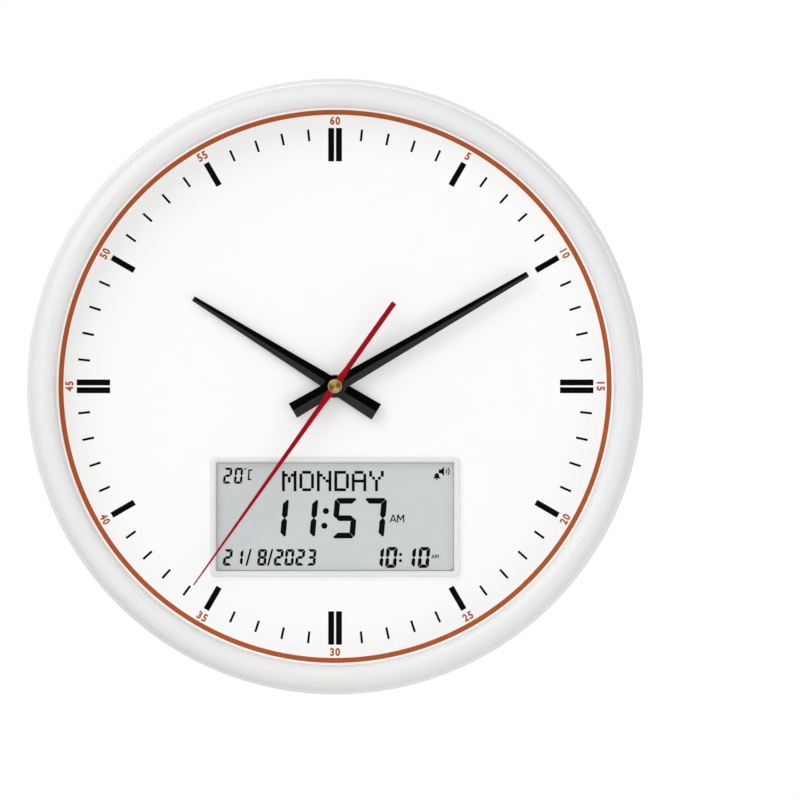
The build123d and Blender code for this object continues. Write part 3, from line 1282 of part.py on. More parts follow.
COLLET_WALL = 0.8
hour_hand = folded_hand(
    hour_hand_low,
    HOUR_ANGLE,
    HOUR_LENGTH,
    HOUR_TAIL,
    HOUR_TIP_WIDTH,
    HOUR_TAIL_WIDTH,
    PIPE_DIAMETER + 2 * COLLET_WALL,
    "hour_hand",
)
hour_hand_collet = collet(
    hour_hand_low - 0.7, pipe_top, PIPE_DIAMETER, PIPE_DIAMETER + 2 * COLLET_WALL, "hour_hand_collet"
)
minute_hand = folded_hand(
    minute_hand_low,
    MINUTE_ANGLE,
    MINUTE_LENGTH,
    MINUTE_TAIL,
    MINUTE_TIP_WIDTH,
    MINUTE_TAIL_WIDTH,
    CANNON_DIAMETER + 2 * COLLET_WALL,
    "minute_hand",
)
minute_hand_collet = collet(
    minute_hand_low - 0.5,
    cannon_top,
    CANNON_DIAMETER,
    CANNON_DIAMETER + 2 * COLLET_WALL,
    "minute_hand_collet",
)

with BuildPart() as second_hand:
    with BuildSketch(facing(second_hand_low, angle=SECOND_ANGLE)):
        add(
            outline(
                (-SECOND_TAIL, -SECOND_ROOT_WIDTH / 2),
                (-SECOND_HUB_REACH, -SECOND_ROOT_WIDTH / 2),
                (0, -SECOND_HUB_WIDTH / 2),
                (SECOND_HUB_REACH, -SECOND_ROOT_WIDTH / 2),
                (SECOND_LENGTH, -SECOND_TIP_WIDTH / 2),
                (SECOND_LENGTH, SECOND_TIP_WIDTH / 2),
                (SECOND_HUB_REACH, SECOND_ROOT_WIDTH / 2),
                (0, SECOND_HUB_WIDTH / 2),
                (-SECOND_HUB_REACH, SECOND_ROOT_WIDTH / 2),
                (-SECOND_TAIL, SECOND_ROOT_WIDTH / 2),
            )
        )
        Circle(CAP_DIAMETER / 2 - 0.6)
        Circle(ARBOR_DIAMETER / 2 + COLLET_WALL, mode=Mode.SUBTRACT)
    extrude(amount=HAND_GAUGE)
second_hand.part.label = "second_hand"

with BuildPart() as second_hand_cap:
    cap_low = second_hand_low + HAND_GAUGE
    with BuildSketch(section()):
        with BuildLine():
            Polyline(
                (0, cap_low),
                (CAP_DIAMETER / 2, cap_low),
                (CAP_DIAMETER / 2, cap_low + CAP_HEIGHT / 2),
                (CAP_DIAMETER / 2 - CAP_HEIGHT / 2, cap_low + CAP_HEIGHT),
                (0, cap_low + CAP_HEIGHT * 0.7),
                close=True,
            )
        make_face()
    revolve(axis=Axis.Y)
    with BuildSketch(facing(second_hand_low - 0.5)):
        Circle(ARBOR_DIAMETER / 2 + COLLET_WALL)
        Circle(ARBOR_DIAMETER / 2, mode=Mode.SUBTRACT)
    extrude(amount=HAND_GAUGE + 0.5)
second_hand_cap.part.label = "second_hand_cap"

# ---------------------------------------------------------------- files

pieces = [
    rear_case,
    front_bezel,
    front_glass,
    dial_spacer_ring,
    dial_plate,
    dial_face,
    case_screws,
    lcd_frame,
    lcd_cell,
    lcd_connector_strips,
    module_housing,
    module_screws,
    module_cells,
    module_contacts,
    main_board,
    board_screws,
    board_chips,
    speaker_frame,
    speaker_cone,
    speaker_magnet,
    key_board,
    key_switches,
    slider_switch,
    battery_door,
    sound_slider,
    *buttons,
    movement_case,
    movement_plate,
    threaded_bush,
    rubber_washer,
    fixing_washer,
    fixing_nut,
    bearing_plate,
    stator,
    coil,
    movement_board,
    quartz_crystal,
    movement_cell,
    movement_contacts,
    rotor,
    intermediate_wheel,
    second_wheel,
    third_wheel,
    centre_wheel,
    cannon_pinion,
    motion_wheel,
    set_knob,
    hour_wheel,
    hour_hand,
    hour_hand_collet,
    minute_hand,
    minute_hand_collet,
    second_hand,
    second_hand_cap,
]

os.makedirs("parts", exist_ok=True)
for piece in pieces:
    export_step(piece.part, f"parts/{piece.part.label}.step")
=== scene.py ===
import math

import bmesh
import bpy
from bpy.props import FloatProperty, FloatVectorProperty, IntProperty, PointerProperty, StringProperty
from mathutils import Matrix, Vector


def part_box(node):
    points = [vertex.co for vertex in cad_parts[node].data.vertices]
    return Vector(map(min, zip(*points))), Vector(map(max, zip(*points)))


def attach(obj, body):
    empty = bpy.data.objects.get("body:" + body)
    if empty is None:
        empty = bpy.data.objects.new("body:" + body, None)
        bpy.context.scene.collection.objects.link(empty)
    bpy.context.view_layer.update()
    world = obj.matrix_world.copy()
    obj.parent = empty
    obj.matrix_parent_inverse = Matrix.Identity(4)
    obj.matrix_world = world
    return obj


bl_info = {
    "name": "Azan Wall Clock Finish",
    "version": (1, 0, 0),
    "blender": (4, 5, 0),
    "location": "View3D > Sidebar > Wall Clock",
    "description": "Prints, display, finishes and studio for a round wall clock with a digital display",
    "category": "Object",
}

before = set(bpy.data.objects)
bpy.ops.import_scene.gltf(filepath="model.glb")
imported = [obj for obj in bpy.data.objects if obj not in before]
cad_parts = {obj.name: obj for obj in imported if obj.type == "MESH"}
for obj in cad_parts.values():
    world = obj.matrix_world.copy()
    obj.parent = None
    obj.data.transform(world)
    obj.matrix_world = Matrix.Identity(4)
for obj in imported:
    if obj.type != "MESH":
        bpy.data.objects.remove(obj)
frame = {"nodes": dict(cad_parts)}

# ---- places and units

MM = 0.001  # Blender's unit is the metre, and this turns a figure in millimetres into metres


def height_of(node):
    """Height above the wall of a node's face on the reader's side."""
    return -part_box(node)[0].y


def back_of(node):
    """Height above the wall of a node's face on the wall's side."""
    return -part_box(node)[1].y


def centre_of(node):
    """Middle of a node's box, as X and Z on the dial."""
    low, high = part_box(node)
    return (low.x + high.x) / 2, (low.z + high.z) / 2


DIAL_TOP = height_of("dial_face")
CELL_TOP = height_of("lcd_cell")
PANEL_BACK = back_of("module_housing")
FILM = 0.02 * MM  # thickness of the display's segments
PAD_FILM = 0.03 * MM  # thickness of the marks on the back


def linear(code):
    """sRGB hex code, such as #F0F0F0, to linear red, green and blue."""
    values = [int(code[i : i + 2], 16) / 255 for i in (1, 3, 5)]
    return tuple(v / 12.92 if v <= 0.04045 else ((v + 0.055) / 1.055) ** 2.4 for v in values)


def rgb(colour):
    """Linear red, green and blue, from a hex code or from linear values."""
    return linear(colour) if isinstance(colour, str) else tuple(colour)


def rgba(colour):
    """The same with full alpha, for a shader's colour socket."""
    return (*rgb(colour), 1.0)


def per(size_mm):
    """Texture scale that gives features of that size in millimetres."""
    return 1.0 / (size_mm * MM)


# ---- outlines, as lists of X and Z points


def on_dial(radius, angle):
    """Point on the dial at a radius and a clock angle in degrees."""
    return radius * math.sin(math.radians(angle)), radius * math.cos(math.radians(angle))


def moved(points, x, z):
    return [(x + px, z + pz) for px, pz in points]


def laid(outlines, centre, mirror=1):
    """Outlines in millimetres, set round a centre in metres, with mirror at -1 to be read from behind."""
    return [[(centre[0] + mirror * x * MM, centre[1] + z * MM) for x, z in points] for points in outlines]


def circle(centre, radius, count=20):
    return moved([on_dial(radius, 90 + 360 * n / count) for n in range(count)], *centre)


def between(outer, inner):
    """Outlines of the segments that fill the space between two loops of as many points."""
    count = len(outer)
    return [[inner[n], outer[n], outer[(n + 1) % count], inner[(n + 1) % count]] for n in range(count)]


def annulus(centre, inner, outer, count):
    """Outlines of the segments that make a flat ring."""
    return between(circle(centre, outer, count), circle(centre, inner, count))


def arc_band(centre, radius, width, start, end, count):
    """Outline of a curved line of even width, from one clock angle to another."""
    angles = [start + (end - start) * step / count for step in range(count + 1)]
    outer = [on_dial(radius + width / 2, angle) for angle in angles]
    inner = [on_dial(radius - width / 2, angle) for angle in reversed(angles)]
    return moved(outer + inner, *centre)


def bar(angle, ends, width, aside=0.0):
    """Outline of a radial bar between two radii, moved sideways along the dial."""
    along = Vector(on_dial(1.0, angle))
    across = Vector((along.y, -along.x))
    inner, outer = ends
    corners = ((inner, -width / 2), (outer, -width / 2), (outer, width / 2), (inner, width / 2))
    return [tuple(along * r + across * (s + aside)) for r, s in corners]


def rounded_loop(centre, width, height, radii, count=6):
    """Points round a rectangle, with a radius for each corner, clockwise from the upper right."""
    points = []
    for quarter, radius in enumerate(radii):
        side, up = ((1, 1), (1, -1), (-1, -1), (-1, 1))[quarter]
        corner = (side * (width / 2 - radius), up * (height / 2 - radius))
        points += moved([on_dial(radius, 90 * (quarter + step / count)) for step in range(count + 1)], *corner)
    return moved(points, *centre)


# ---- characters and symbols, in millimetres

LIT = {
    "0": "abcdef", "1": "bc", "2": "abged", "3": "abgcd", "4": "fgbc",
    "5": "afgcd", "6": "afgedc", "7": "abc", "8": "abcdefg", "9": "abcdfg",
}
DOTS = {
    "M": "10001 11011 10101 10101 10001 10001 10001",
    "O": "01110 10001 10001 10001 10001 10001 01110",
    "N": "10001 11001 10101 10011 10001 10001 10001",
    "D": "11110 10001 10001 10001 10001 10001 11110",
    "A": "01110 10001 10001 11111 10001 10001 10001",
    "Y": "10001 10001 01010 00100 00100 00100 00100",
}
LEAN = math.tan(math.radians(5.0))  # the digits lean right

LOUDSPEAKER = [(55.4, 25.2), (56.8, 25.2), (58.3, 26.7), (58.3, 21.7), (56.8, 23.2), (55.4, 23.2)]
BELL = [
    (52.4, 20.4), (56.4, 20.4), (55.7, 21.2), (55.6, 22.3), (54.9, 23.3), (53.9, 23.3), (53.2, 22.3), (53.1, 21.2),
]
DEGREES_C = [
    (-46.8, 19.5), (-44.7, 19.5), (-44.85, 20.3), (-45.9, 20.3),
    (-45.6, 24.5), (-44.35, 24.5), (-44.2, 25.3), (-46.4, 25.3),
]
DATE_SLASH = [(0, 0), (1.05, 0), (3.45, 8.9), (2.4, 8.9)]

KEY_BELL = [(-1.8, -1.1), (1.8, -1.1), (1.2, -0.3), (1.1, 0.8), (0.5, 1.6), (-0.5, 1.6), (-1.1, 0.8), (-1.2, -0.3)]
KEY_LOUDSPEAKER = [(-2.4, 0.6), (-1.4, 0.6), (-0.2, 1.7), (-0.2, -1.7), (-1.4, -0.6), (-2.4, -0.6)]
KEY_SYMBOLS = {
    "mode_button": annulus((0, 0), 1.1, 1.7, 24),
    "up_button": [[(-1.8, -1.3), (1.8, -1.3), (0, 1.7)]],
    "down_button": [[(-1.8, 1.3), (1.8, 1.3), (0, -1.7)]],
    "azan_button": [KEY_LOUDSPEAKER] + [arc_band((0.3, 0), radius, 0.4, 50, 130, 8) for radius in (1.5, 2.5)],
    "alarm_button": [KEY_BELL, circle((0, -1.6), 0.4, 12)],
    "light_button": [circle((0, 0), 1.05)] + [bar(45 * n, (1.5, 2.4), 0.4) for n in range(8)],
}
DOOR_ARROW = [(19, 0), (23, 3.2), (23, 1.1), (30, 1.1), (30, -1.1), (23, -1.1), (23, -3.2)]


def segment_digit(digit, left, bottom, width, tall, stroke, gap):
    """Outlines of a seven segment digit with mitred ends and clipped corners, leaning right."""
    w, h, t, k, c = width, tall, stroke, gap / 1.4, stroke * 0.5
    half = h / 2
    shapes = {
        "a": [
            (c + k, h), (w - c - k, h), (w - c / 2 - k, h - c / 2),
            (w - t - k, h - t), (t + k, h - t), (c / 2 + k, h - c / 2),
        ],
        "g": [
            (t / 2 + k, half), (t + k, half + t / 2), (w - t - k, half + t / 2),
            (w - t / 2 - k, half), (w - t - k, half - t / 2), (t + k, half - t / 2),
        ],
        "f": [
            (0, h - c - k), (c / 2, h - c / 2 - k), (t, h - t - k), (t, half + t / 2 + k),
            (t * 0.62, half + k), (t * 0.38, half + k), (0, half + t * 0.42 + k),
        ],
    }
    shapes["d"] = [(x, h - z) for x, z in shapes["a"]]
    shapes["b"] = [(w - x, z) for x, z in shapes["f"]]
    shapes["e"] = [(x, h - z) for x, z in shapes["f"]]
    shapes["c"] = [(w - x, h - z) for x, z in shapes["f"]]
    return [[(left + x + z * LEAN, bottom + z) for x, z in shapes[s]] for s in LIT[digit]]


def half_day(left, bottom, width, tall, stroke):
    """Outlines of the letters A and M side by side, with strokes of even width."""
    half = width * 0.49  # each letter's width, which leaves a narrow gap between them
    slope = (half - stroke) / 2 / tall
    fork = (half / 2 - stroke) / slope  # height at which the legs of the A meet
    foot = [(0, 0), (stroke, 0), (half / 2, fork), (half / 2, tall), (half / 2 - stroke / 2, tall)]
    low, high = tall * 0.22, tall * 0.22 + stroke * 0.9
    bar_low, bar_high = stroke + low * slope, stroke + high * slope
    crossbar = [(bar_low, low), (half - bar_low, low), (half - bar_high, high), (bar_high, high)]
    arm, dip, fall = stroke * 1.15, tall * 0.2, tall - 2 * stroke
    m = [
        (0, 0), (stroke, 0), (stroke, fall), (half / 2, dip), (half - stroke, fall), (half - stroke, 0),
        (half, 0), (half, tall), (half - arm, tall), (half / 2, dip + 1.9 * stroke), (arm, tall), (0, tall),
    ]
    a = [moved(points, left, bottom) for points in (foot, [(half - x, z) for x, z in foot], crossbar)]
    return a + [moved(m, left + width - half, bottom)]


def dot_matrix(word, middle, top, pitch):
    """Outlines of the square dots of a word, five dots by seven for each letter."""
    step = 6 * pitch  # five dots and a gap
    left = middle - (len(word) * step - pitch) / 2
    square = [(0, 0), (pitch, 0), (pitch, pitch), (0, pitch)]
    return [
        moved(square, left + place * step + column * pitch, top - (row + 1) * pitch)
        for place, letter in enumerate(word)
        for row, line in enumerate(DOTS[letter].split())
        for column, dot in enumerate(line)
        if dot == "1"
    ]


# ---- mesh makers


def object_from(made, name, material):
    """Object in the scene from a bmesh, which is freed, in one material."""
    mesh = bpy.data.meshes.new(name)
    made.to_mesh(mesh)
    made.free()
    mesh.materials.append(material)
    piece = bpy.data.objects.new(name, mesh)
    bpy.context.scene.collection.objects.link(piece)
    return piece


def slabs(name, outlines, base, thickness, material, towards=-1):
    """One mesh of thin flat shapes that stand on a height above the wall.

    towards is -1 for prints that face the reader and 1 for prints on the back, which face the wall.
    """
    made = bmesh.new()
    for points in outlines:
        area = sum(a[0] * b[1] - b[0] * a[1] for a, b in zip(points, points[1:] + points[:1]))
        ordered = points if (area > 0) == (towards < 0) else points[::-1]
        low = [made.verts.new((x, -base, z)) for x, z in ordered]
        high = [made.verts.new((x, -base + towards * thickness, z)) for x, z in ordered]
        made.faces.new(high)
        made.faces.new(low[::-1])
        for i in range(len(ordered)):
            j = (i + 1) % len(ordered)
            made.faces.new((low[i], low[j], high[j], high[i]))
    made.normal_update()
    return object_from(made, name, material)


def lettering(text, width, height, thickness, bold=0.0, spacing=1.0):
    """Mesh of a word or number in the XY plane, centred, fitted to a width and a height."""
    curve = bpy.data.curves.new(text, "FONT")
    curve.body = text
    curve.align_x = "CENTER"
    curve.offset = bold
    curve.space_character = spacing
    curve.resolution_u = 4
    curve.fill_mode = "BOTH"
    curve.extrude = 0.05
    holder = bpy.data.objects.new(text, curve)
    bpy.context.scene.collection.objects.link(holder)
    bpy.context.view_layer.update()
    mesh = bpy.data.meshes.new_from_object(holder.evaluated_get(bpy.context.evaluated_depsgraph_get()))
    bpy.data.objects.remove(holder)
    bpy.data.curves.remove(curve)
    corners = [v.co.copy() for v in mesh.vertices]
    low = Vector([min(c[i] for c in corners) for i in range(3)])
    high = Vector([max(c[i] for c in corners) for i in range(3)])
    origin = Vector(((low.x + high.x) / 2, (low.y + high.y) / 2, low.z))
    for vertex in mesh.vertices:
        for i, size in enumerate((width, height, thickness)):
            vertex.co[i] = (vertex.co[i] - origin[i]) * size / (high[i] - low[i])
    return mesh


def join_words(name, words, material):
    """One object from lettering meshes, each with the matrix that sets it on its surface."""
    made = bmesh.new()
    for mesh, place in words:
        mesh.transform(place)
        made.from_mesh(mesh)
        bpy.data.meshes.remove(mesh)
    return object_from(made, name, material)


def facing_reader(x, z, height, turn):
    """Sets lettering on the reader's side, its top turned clockwise by that many degrees."""
    upright = Matrix(((1, 0, 0, 0), (0, 0, -1, 0), (0, 1, 0, 0), (0, 0, 0, 1)))
    return Matrix.Translation((x, -height, z)) @ Matrix.Rotation(math.radians(turn), 4, "Y") @ upright


def facing_wall(x, z, height):
    """Sets lettering on the back, where it is read from behind."""
    return Matrix.Translation((x, -height, z)) @ Matrix(((-1, 0, 0, 0), (0, 0, 1, 0), (0, 1, 0, 0), (0, 0, 0, 1)))


# ---- shader nodes

WHITE = rgba("#FFFFFF")
ABS_IOR = 1.53


def add(kind, sockets=None, tree=None, **settings):
    """Adds one node with its settings, to a tree or to that of the nodes which feed it.

    A socket takes a value, another node's output, or a node, which stands for its first output in use.
    """
    sockets = sockets or {}
    if tree is None:
        tree = next(v.id_data for v in sockets.values() if isinstance(v, (bpy.types.Node, bpy.types.NodeSocket)))
    node = tree.nodes.new(kind)
    for name, value in settings.items():
        setattr(node, name, value)
    for name, value in sockets.items():
        if isinstance(value, bpy.types.Node):
            value = next(output for output in value.outputs if output.enabled)
        if isinstance(value, bpy.types.NodeSocket):
            tree.links.new(value, node.inputs[name])
        else:
            node.inputs[name].default_value = value
    return node


def maths(operation, *values):
    return add("ShaderNodeMath", dict(enumerate(values)), operation=operation)


def vectors(operation, *values):
    return add("ShaderNodeVectorMath", dict(enumerate(values)), operation=operation)


def noise(place, size_mm, detail, roughness=0.5):
    """Noise with features of that size."""
    sockets = {"Vector": place, "Scale": per(size_mm), "Detail": detail, "Roughness": roughness}
    return add("ShaderNodeTexNoise", sockets)


def span(value, low=0.0, high=1.0, start=0.0, end=1.0):
    """Maps a value's run from start to end onto low to high."""
    sockets = {"Value": value, "From Min": start, "From Max": end, "To Min": low, "To Max": high}
    return add("ShaderNodeMapRange", sockets)


def ridges(distance, pitch_mm):
    """Ridges along a distance in metres, which rise from 0 to 1 and fall again within the pitch."""
    return span(maths("PINGPONG", distance, pitch_mm / 2 * MM), end=pitch_mm / 2 * MM)


def along(place, axis):
    return add("ShaderNodeSeparateXYZ", {"Vector": place}).outputs[axis]


def from_axis(place, centre=(0.0, 0.0)):
    """Distance in metres from an axis that stands on the dial."""
    away = vectors("SUBTRACT", place, (centre[0], 0.0, centre[1]))
    return vectors("LENGTH", vectors("MULTIPLY", away, (1.0, 0.0, 1.0)))


def toned(colour, level):
    """Colour made darker or paler by a level."""
    base = colour if isinstance(colour, bpy.types.Node) else rgb(colour)
    return add("ShaderNodeVectorMath", {0: base, "Scale": level}, operation="SCALE")


def blend(factor, first, second):
    """From the first colour to the second as the factor goes from 0 to 1."""
    a, b = (colour if isinstance(colour, bpy.types.Node) else rgba(colour) for colour in (first, second))
    return add("ShaderNodeMix", {"Factor": factor, "A": a, "B": b}, data_type="RGBA")


def relief(height, strength, depth_mm):
    return add("ShaderNodeBump", {"Height": height, "Strength": strength, "Distance": depth_mm * MM})


def begin(name):
    """New material, with coordinates in metres that stay with the object."""
    material = bpy.data.materials.new(name)
    material.use_nodes = True
    tree = material.node_tree
    tree.nodes.clear()
    return material, add("ShaderNodeTexCoord", tree=tree).outputs["Object"]


def surface(material, colour, roughness, **sockets):
    """Ends a material in one shader, whose other sockets go by Blender's names, and returns it."""
    shader = add("ShaderNodeBsdfPrincipled", {"Base Color": colour, "Roughness": roughness, **sockets})
    add("ShaderNodeOutputMaterial", {"Surface": shader})
    return material


def give(material, *nodes):
    """Puts a material on CAD nodes."""
    for name in nodes:
        mesh = frame["nodes"][name].data
        mesh.materials.clear()
        mesh.materials.append(material)


# ---- materials


def gloss_moulded(name, colour, roughness, ripple_mm=9.0):
    """Gloss moulded ABS: a polished mould leaves a soft mirror with a faint wave from shrinkage."""
    material, place = begin(name)
    wave = noise(place, ripple_mm, detail=2.0, roughness=0.4)
    haze = noise(place, size_mm=2.2, detail=3.0)
    skin = toned(colour, span(wave, 0.985, 1.0))
    rough = span(haze, roughness - 0.03, roughness + 0.05)
    return surface(material, skin, rough, IOR=ABS_IOR, Normal=relief(wave, strength=0.6, depth_mm=0.02))


def eroded_moulded(name, colour, grain_mm, depth_mm=0.02, roughness=0.55):
    """Spark eroded ABS: the mould's fine pits give a dry, even matt face that hides scratches."""
    material, place = begin(name)
    pits = noise(place, grain_mm, detail=4.0, roughness=0.65)
    flow = noise(place, size_mm=38.0, detail=1.0)
    skin = toned(colour, span(flow, 0.96, 1.0))
    rough = span(pits, roughness - 0.1, roughness + 0.12)
    return surface(material, skin, rough, IOR=ABS_IOR, Normal=relief(pits, strength=0.9, depth_mm=depth_mm))


def float_glass():
    """Float glass with ground edges: clear on its faces, so only a faint reflection shows."""
    material, _ = begin("float glass, ground edge")
    tree = material.node_tree
    mirror = span(add("ShaderNodeFresnel", {"IOR": 1.45}, tree), start=0.034)
    leaving = add("ShaderNodeNewGeometry", tree=tree).outputs["Backfacing"]
    entering = maths("SUBTRACT", 1.0, leaving)  # light that leaves the sheet passes straight on
    clear = add("ShaderNodeBsdfTransparent", {"Color": WHITE}, tree)
    shine = add("ShaderNodeBsdfGlossy", {"Color": WHITE, "Roughness": 0.02}, tree)
    mixed = add("ShaderNodeMixShader", {"Fac": maths("MULTIPLY", mirror, entering), 1: clear, 2: shine})
    add("ShaderNodeOutputMaterial", {"Surface": mixed})
    return material


def dial_sheet(name, colour):
    """Coated dial sheet: white enamel paint on sheet, dead matt with a very fine orange peel."""
    material, place = begin(name)
    peel = noise(place, size_mm=0.9, detail=2.0)
    fibre = noise(place, size_mm=16.0, detail=1.0)
    paint, rough = toned(colour, span(fibre, 0.992, 1.0)), span(peel, 0.6, 0.72)
    return surface(material, paint, rough, IOR=1.4, Normal=relief(peel, strength=0.5, depth_mm=0.006))


def screen_ink(name, colour):
    """Screen printed ink: a thin even film whose edge and face keep a trace of the screen's mesh."""
    material, place = begin(name)
    mesh = add("ShaderNodeTexVoronoi", {"Vector": place, "Scale": per(0.35), "Randomness": 0.25})
    film = noise(place, size_mm=5.0, detail=3.0)
    ink = toned(colour, span(film, 0.9, 1.04))
    return surface(material, ink, roughness=0.5, IOR=1.1, Normal=relief(mesh, strength=0.25, depth_mm=0.004))


def lcd_ground(name, colour):
    """Reflective display: grey-green behind a satin polariser, with its etched electrode lines."""
    material, place = begin(name)
    etched = span(ridges(along(place, "X"), pitch_mm=0.84), 0.985, 1.0)
    cloud = span(noise(place, size_mm=24.0, detail=2.0), 0.97, 1.02)
    grain = noise(place, size_mm=0.25, detail=1.0)
    ground = toned(colour, maths("MULTIPLY", cloud, etched))
    return surface(material, ground, roughness=0.36, IOR=1.45, Normal=relief(grain, strength=0.3, depth_mm=0.003))


def lcd_ink(name, colour):
    """Switched liquid crystal under the polariser: near black with a slight blue edge."""
    material, place = begin(name)
    ink = blend(noise(place, size_mm=3.0, detail=1.0), colour, "#0B0D12")
    return surface(material, ink, roughness=0.36, IOR=1.1)


def facet_lacquer(name, dark, light, across):
    """Lacquered aluminium hand: one facet polished, the other satin, as its maker strikes it; the satin facet is
    also painted paler as if lit and the polished one darker as if in shade.

    across points from the polished facet to the satin one, at right angles to the hand.
    """
    material, place = begin(name)
    fold = 0.12 * MM  # half the width over which one facet turns into the other
    # mask of the satin facet, painted paler as if it caught the light; the polished facet is painted dark as shade
    satin = span(vectors("DOT_PRODUCT", place, across), start=-fold, end=fold)
    brushed = noise(place, size_mm=1.6, detail=1.0)
    paint = toned(blend(satin, dark, light), span(brushed, 0.92, 1.06))
    rough = span(satin, 0.28, 0.46)
    return surface(material, paint, rough, IOR=1.08, Normal=relief(brushed, strength=0.3, depth_mm=0.003))


def lacquer(name, colour):
    """Sprayed lacquer on aluminium: full colour under a slightly wavy satin skin."""
    material, place = begin(name)
    peel = noise(place, size_mm=1.1, detail=2.0)
    paint, rough = toned(colour, span(peel, 0.92, 1.05)), span(peel, 0.26, 0.36)
    return surface(material, paint, rough, IOR=1.15, Normal=relief(peel, strength=0.5, depth_mm=0.004))


def turned_metal(name, colour, pitch_mm, roughness, centre=(0.0, 0.0)):
    """Turned brass or steel: fine rings round its axis that spread each highlight into a fan."""
    material, place = begin(name)
    ridge = ridges(from_axis(place, centre), pitch_mm)
    metal = toned(colour, span(noise(place, size_mm=1.6, detail=3.0), 0.82, 1.05))
    rough = span(ridge, roughness, roughness + 0.14)
    return surface(material, metal, rough, Metallic=1.0, Normal=relief(ridge, strength=0.5, depth_mm=0.02))


def spun_brass(name, light, dark, rim, radius, bevel):
    """Spun brass cap: turning marks throw two pale and two deep fans across its dished face.

    Soft light from all round would hide the fans, so they are laid into the colour as painted highlight and painted
    shade, with a painted highlight on the bevelled rim.
    """
    material, place = begin(name)
    turn = maths("ARCTAN2", along(place, "Z"), along(place, "X"))
    fan = maths("SINE", maths("MULTIPLY_ADD", turn, 2.0, math.radians(60)))
    # painted highlight and painted shade: two pale and two deep fans that turn with the cap
    face = blend(span(fan, start=0.7, end=-0.7), dark, light)
    reach = from_axis(place)
    # mask of the bevelled rim, which gets a painted highlight
    edge = span(reach, start=radius - bevel, end=radius - 0.4 * bevel)
    ridge = ridges(reach, pitch_mm=0.32)
    metal, rough = blend(edge, face, rim), span(ridge, 0.4, 0.5)
    return surface(material, metal, rough, Metallic=1.0, Normal=relief(ridge, strength=0.4, depth_mm=0.01))


def plated_metal(name, colour, roughness, spot_mm=0.7):
    """Zinc or nickel plated steel: a bright skin, clouded in small spots where it was handled."""
    material, place = begin(name)
    cloud = noise(place, spot_mm, detail=4.0, roughness=0.6)
    metal = toned(colour, span(cloud, 0.84, 1.04))
    rough = span(cloud, roughness - 0.08, roughness + 0.12)
    return surface(material, metal, rough, Metallic=1.0, Normal=relief(cloud, strength=0.4, depth_mm=0.006))


def circuit_board(name, mask, trace, pitch_mm=2.4):
    """FR4 board under green solder mask: copper tracks stand a hair proud and show lighter."""
    material, place = begin(name)
    flat = vectors("MULTIPLY", place, (per(pitch_mm), 0.0, per(pitch_mm)))
    cells = add("ShaderNodeTexVoronoi", {"Vector": flat, "Scale": 1.0, "Randomness": 0.7}, distance="MANHATTAN")
    track = span(maths("PINGPONG", cells, 0.17), start=0.085, end=0.11)
    glass = span(noise(place, size_mm=0.5, detail=2.0), 0.85, 1.05)
    board = toned(blend(track, mask, trace), glass)
    return surface(material, board, roughness=0.32, IOR=1.55, Normal=relief(track, strength=0.7, depth_mm=0.03))


def wound_copper(name, centre, half_length, bobbin, core):
    """Coil of enamelled copper wire between its bobbin's flanges, with the bare core at its ends."""
    material, place = begin(name)
    across = along(place, "X")
    crown_relief_and_shade = ridges(across, pitch_mm=0.18)
    reach = maths("ABSOLUTE", maths("SUBTRACT", across, centre))
    on_bobbin = maths("GREATER_THAN", reach, half_length - 1.0 * MM)
    on_core = maths("GREATER_THAN", reach, half_length + 0.01 * MM)
    # painted shade and highlight: wire darker in the grooves between turns, paler on their crowns
    wire = blend(crown_relief_and_shade, "#7A3A1C", "#C8733C")
    coil = blend(on_core, blend(on_bobbin, wire, bobbin), core)
    metallic = maths("MAXIMUM", maths("SUBTRACT", 1.0, on_bobbin), on_core)
    turns = relief(crown_relief_and_shade, strength=0.6, depth_mm=0.04)
    return surface(material, coil, roughness=0.36, Metallic=metallic, Normal=turns)


def cell_sleeve(name, node, sleeve):
    """Dry cells in printed shrink sleeve: a plain wrapper with one band, and bare metal ends."""
    material, place = begin(name)
    low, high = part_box(node)
    run = span(along(place, "X"), start=low.x, end=high.x)
    ramp = add("ShaderNodeValToRGB", {"Fac": run})
    ramp.color_ramp.interpolation = "CONSTANT"
    stops = [(0.0, "#B9BCBE"), (0.012, sleeve), (0.70, "#D8DADC"), (0.86, sleeve), (0.965, "#C9CBCC")]
    while len(ramp.color_ramp.elements) < len(stops):
        ramp.color_ramp.elements.new(0.5)
    for element, (position, colour) in zip(ramp.color_ramp.elements, stops):
        element.position = position
        element.color = rgba(colour)
    metallic = maths("GREATER_THAN", maths("ABSOLUTE", maths("SUBTRACT", run, 0.5)), 0.4865)  # the bare ends
    crease = noise(place, size_mm=2.5, detail=3.0)
    rough = span(crease, 0.22, 0.42)
    return surface(material, ramp, rough, Metallic=metallic, Normal=relief(crease, strength=0.4, depth_mm=0.02))


def zebra_rubber(name):
    """Elastomer connector: silicone in which carbon layers alternate with clear ones."""
    material, place = begin(name)
    layers = ridges(along(place, "X"), pitch_mm=0.5)  # coarser than the real ones, so that they show
    rubber = blend(maths("GREATER_THAN", layers, 0.5), "#CFCFC8", "#17181A")
    return surface(material, rubber, span(noise(place, size_mm=0.8, detail=2.0), 0.5, 0.7), IOR=1.41)


def acetal(name, colour):
    """Acetal gear: hard waxy plastic, a little translucent at its thin teeth."""
    material, place = begin(name)
    cloud = noise(place, size_mm=1.8, detail=2.0)
    glow = {"Subsurface Weight": 0.15, "Subsurface Scale": 0.4 * MM}
    return surface(material, toned(colour, span(cloud, 0.93, 1.03)), span(cloud, 0.3, 0.44), IOR=1.48, **glow)


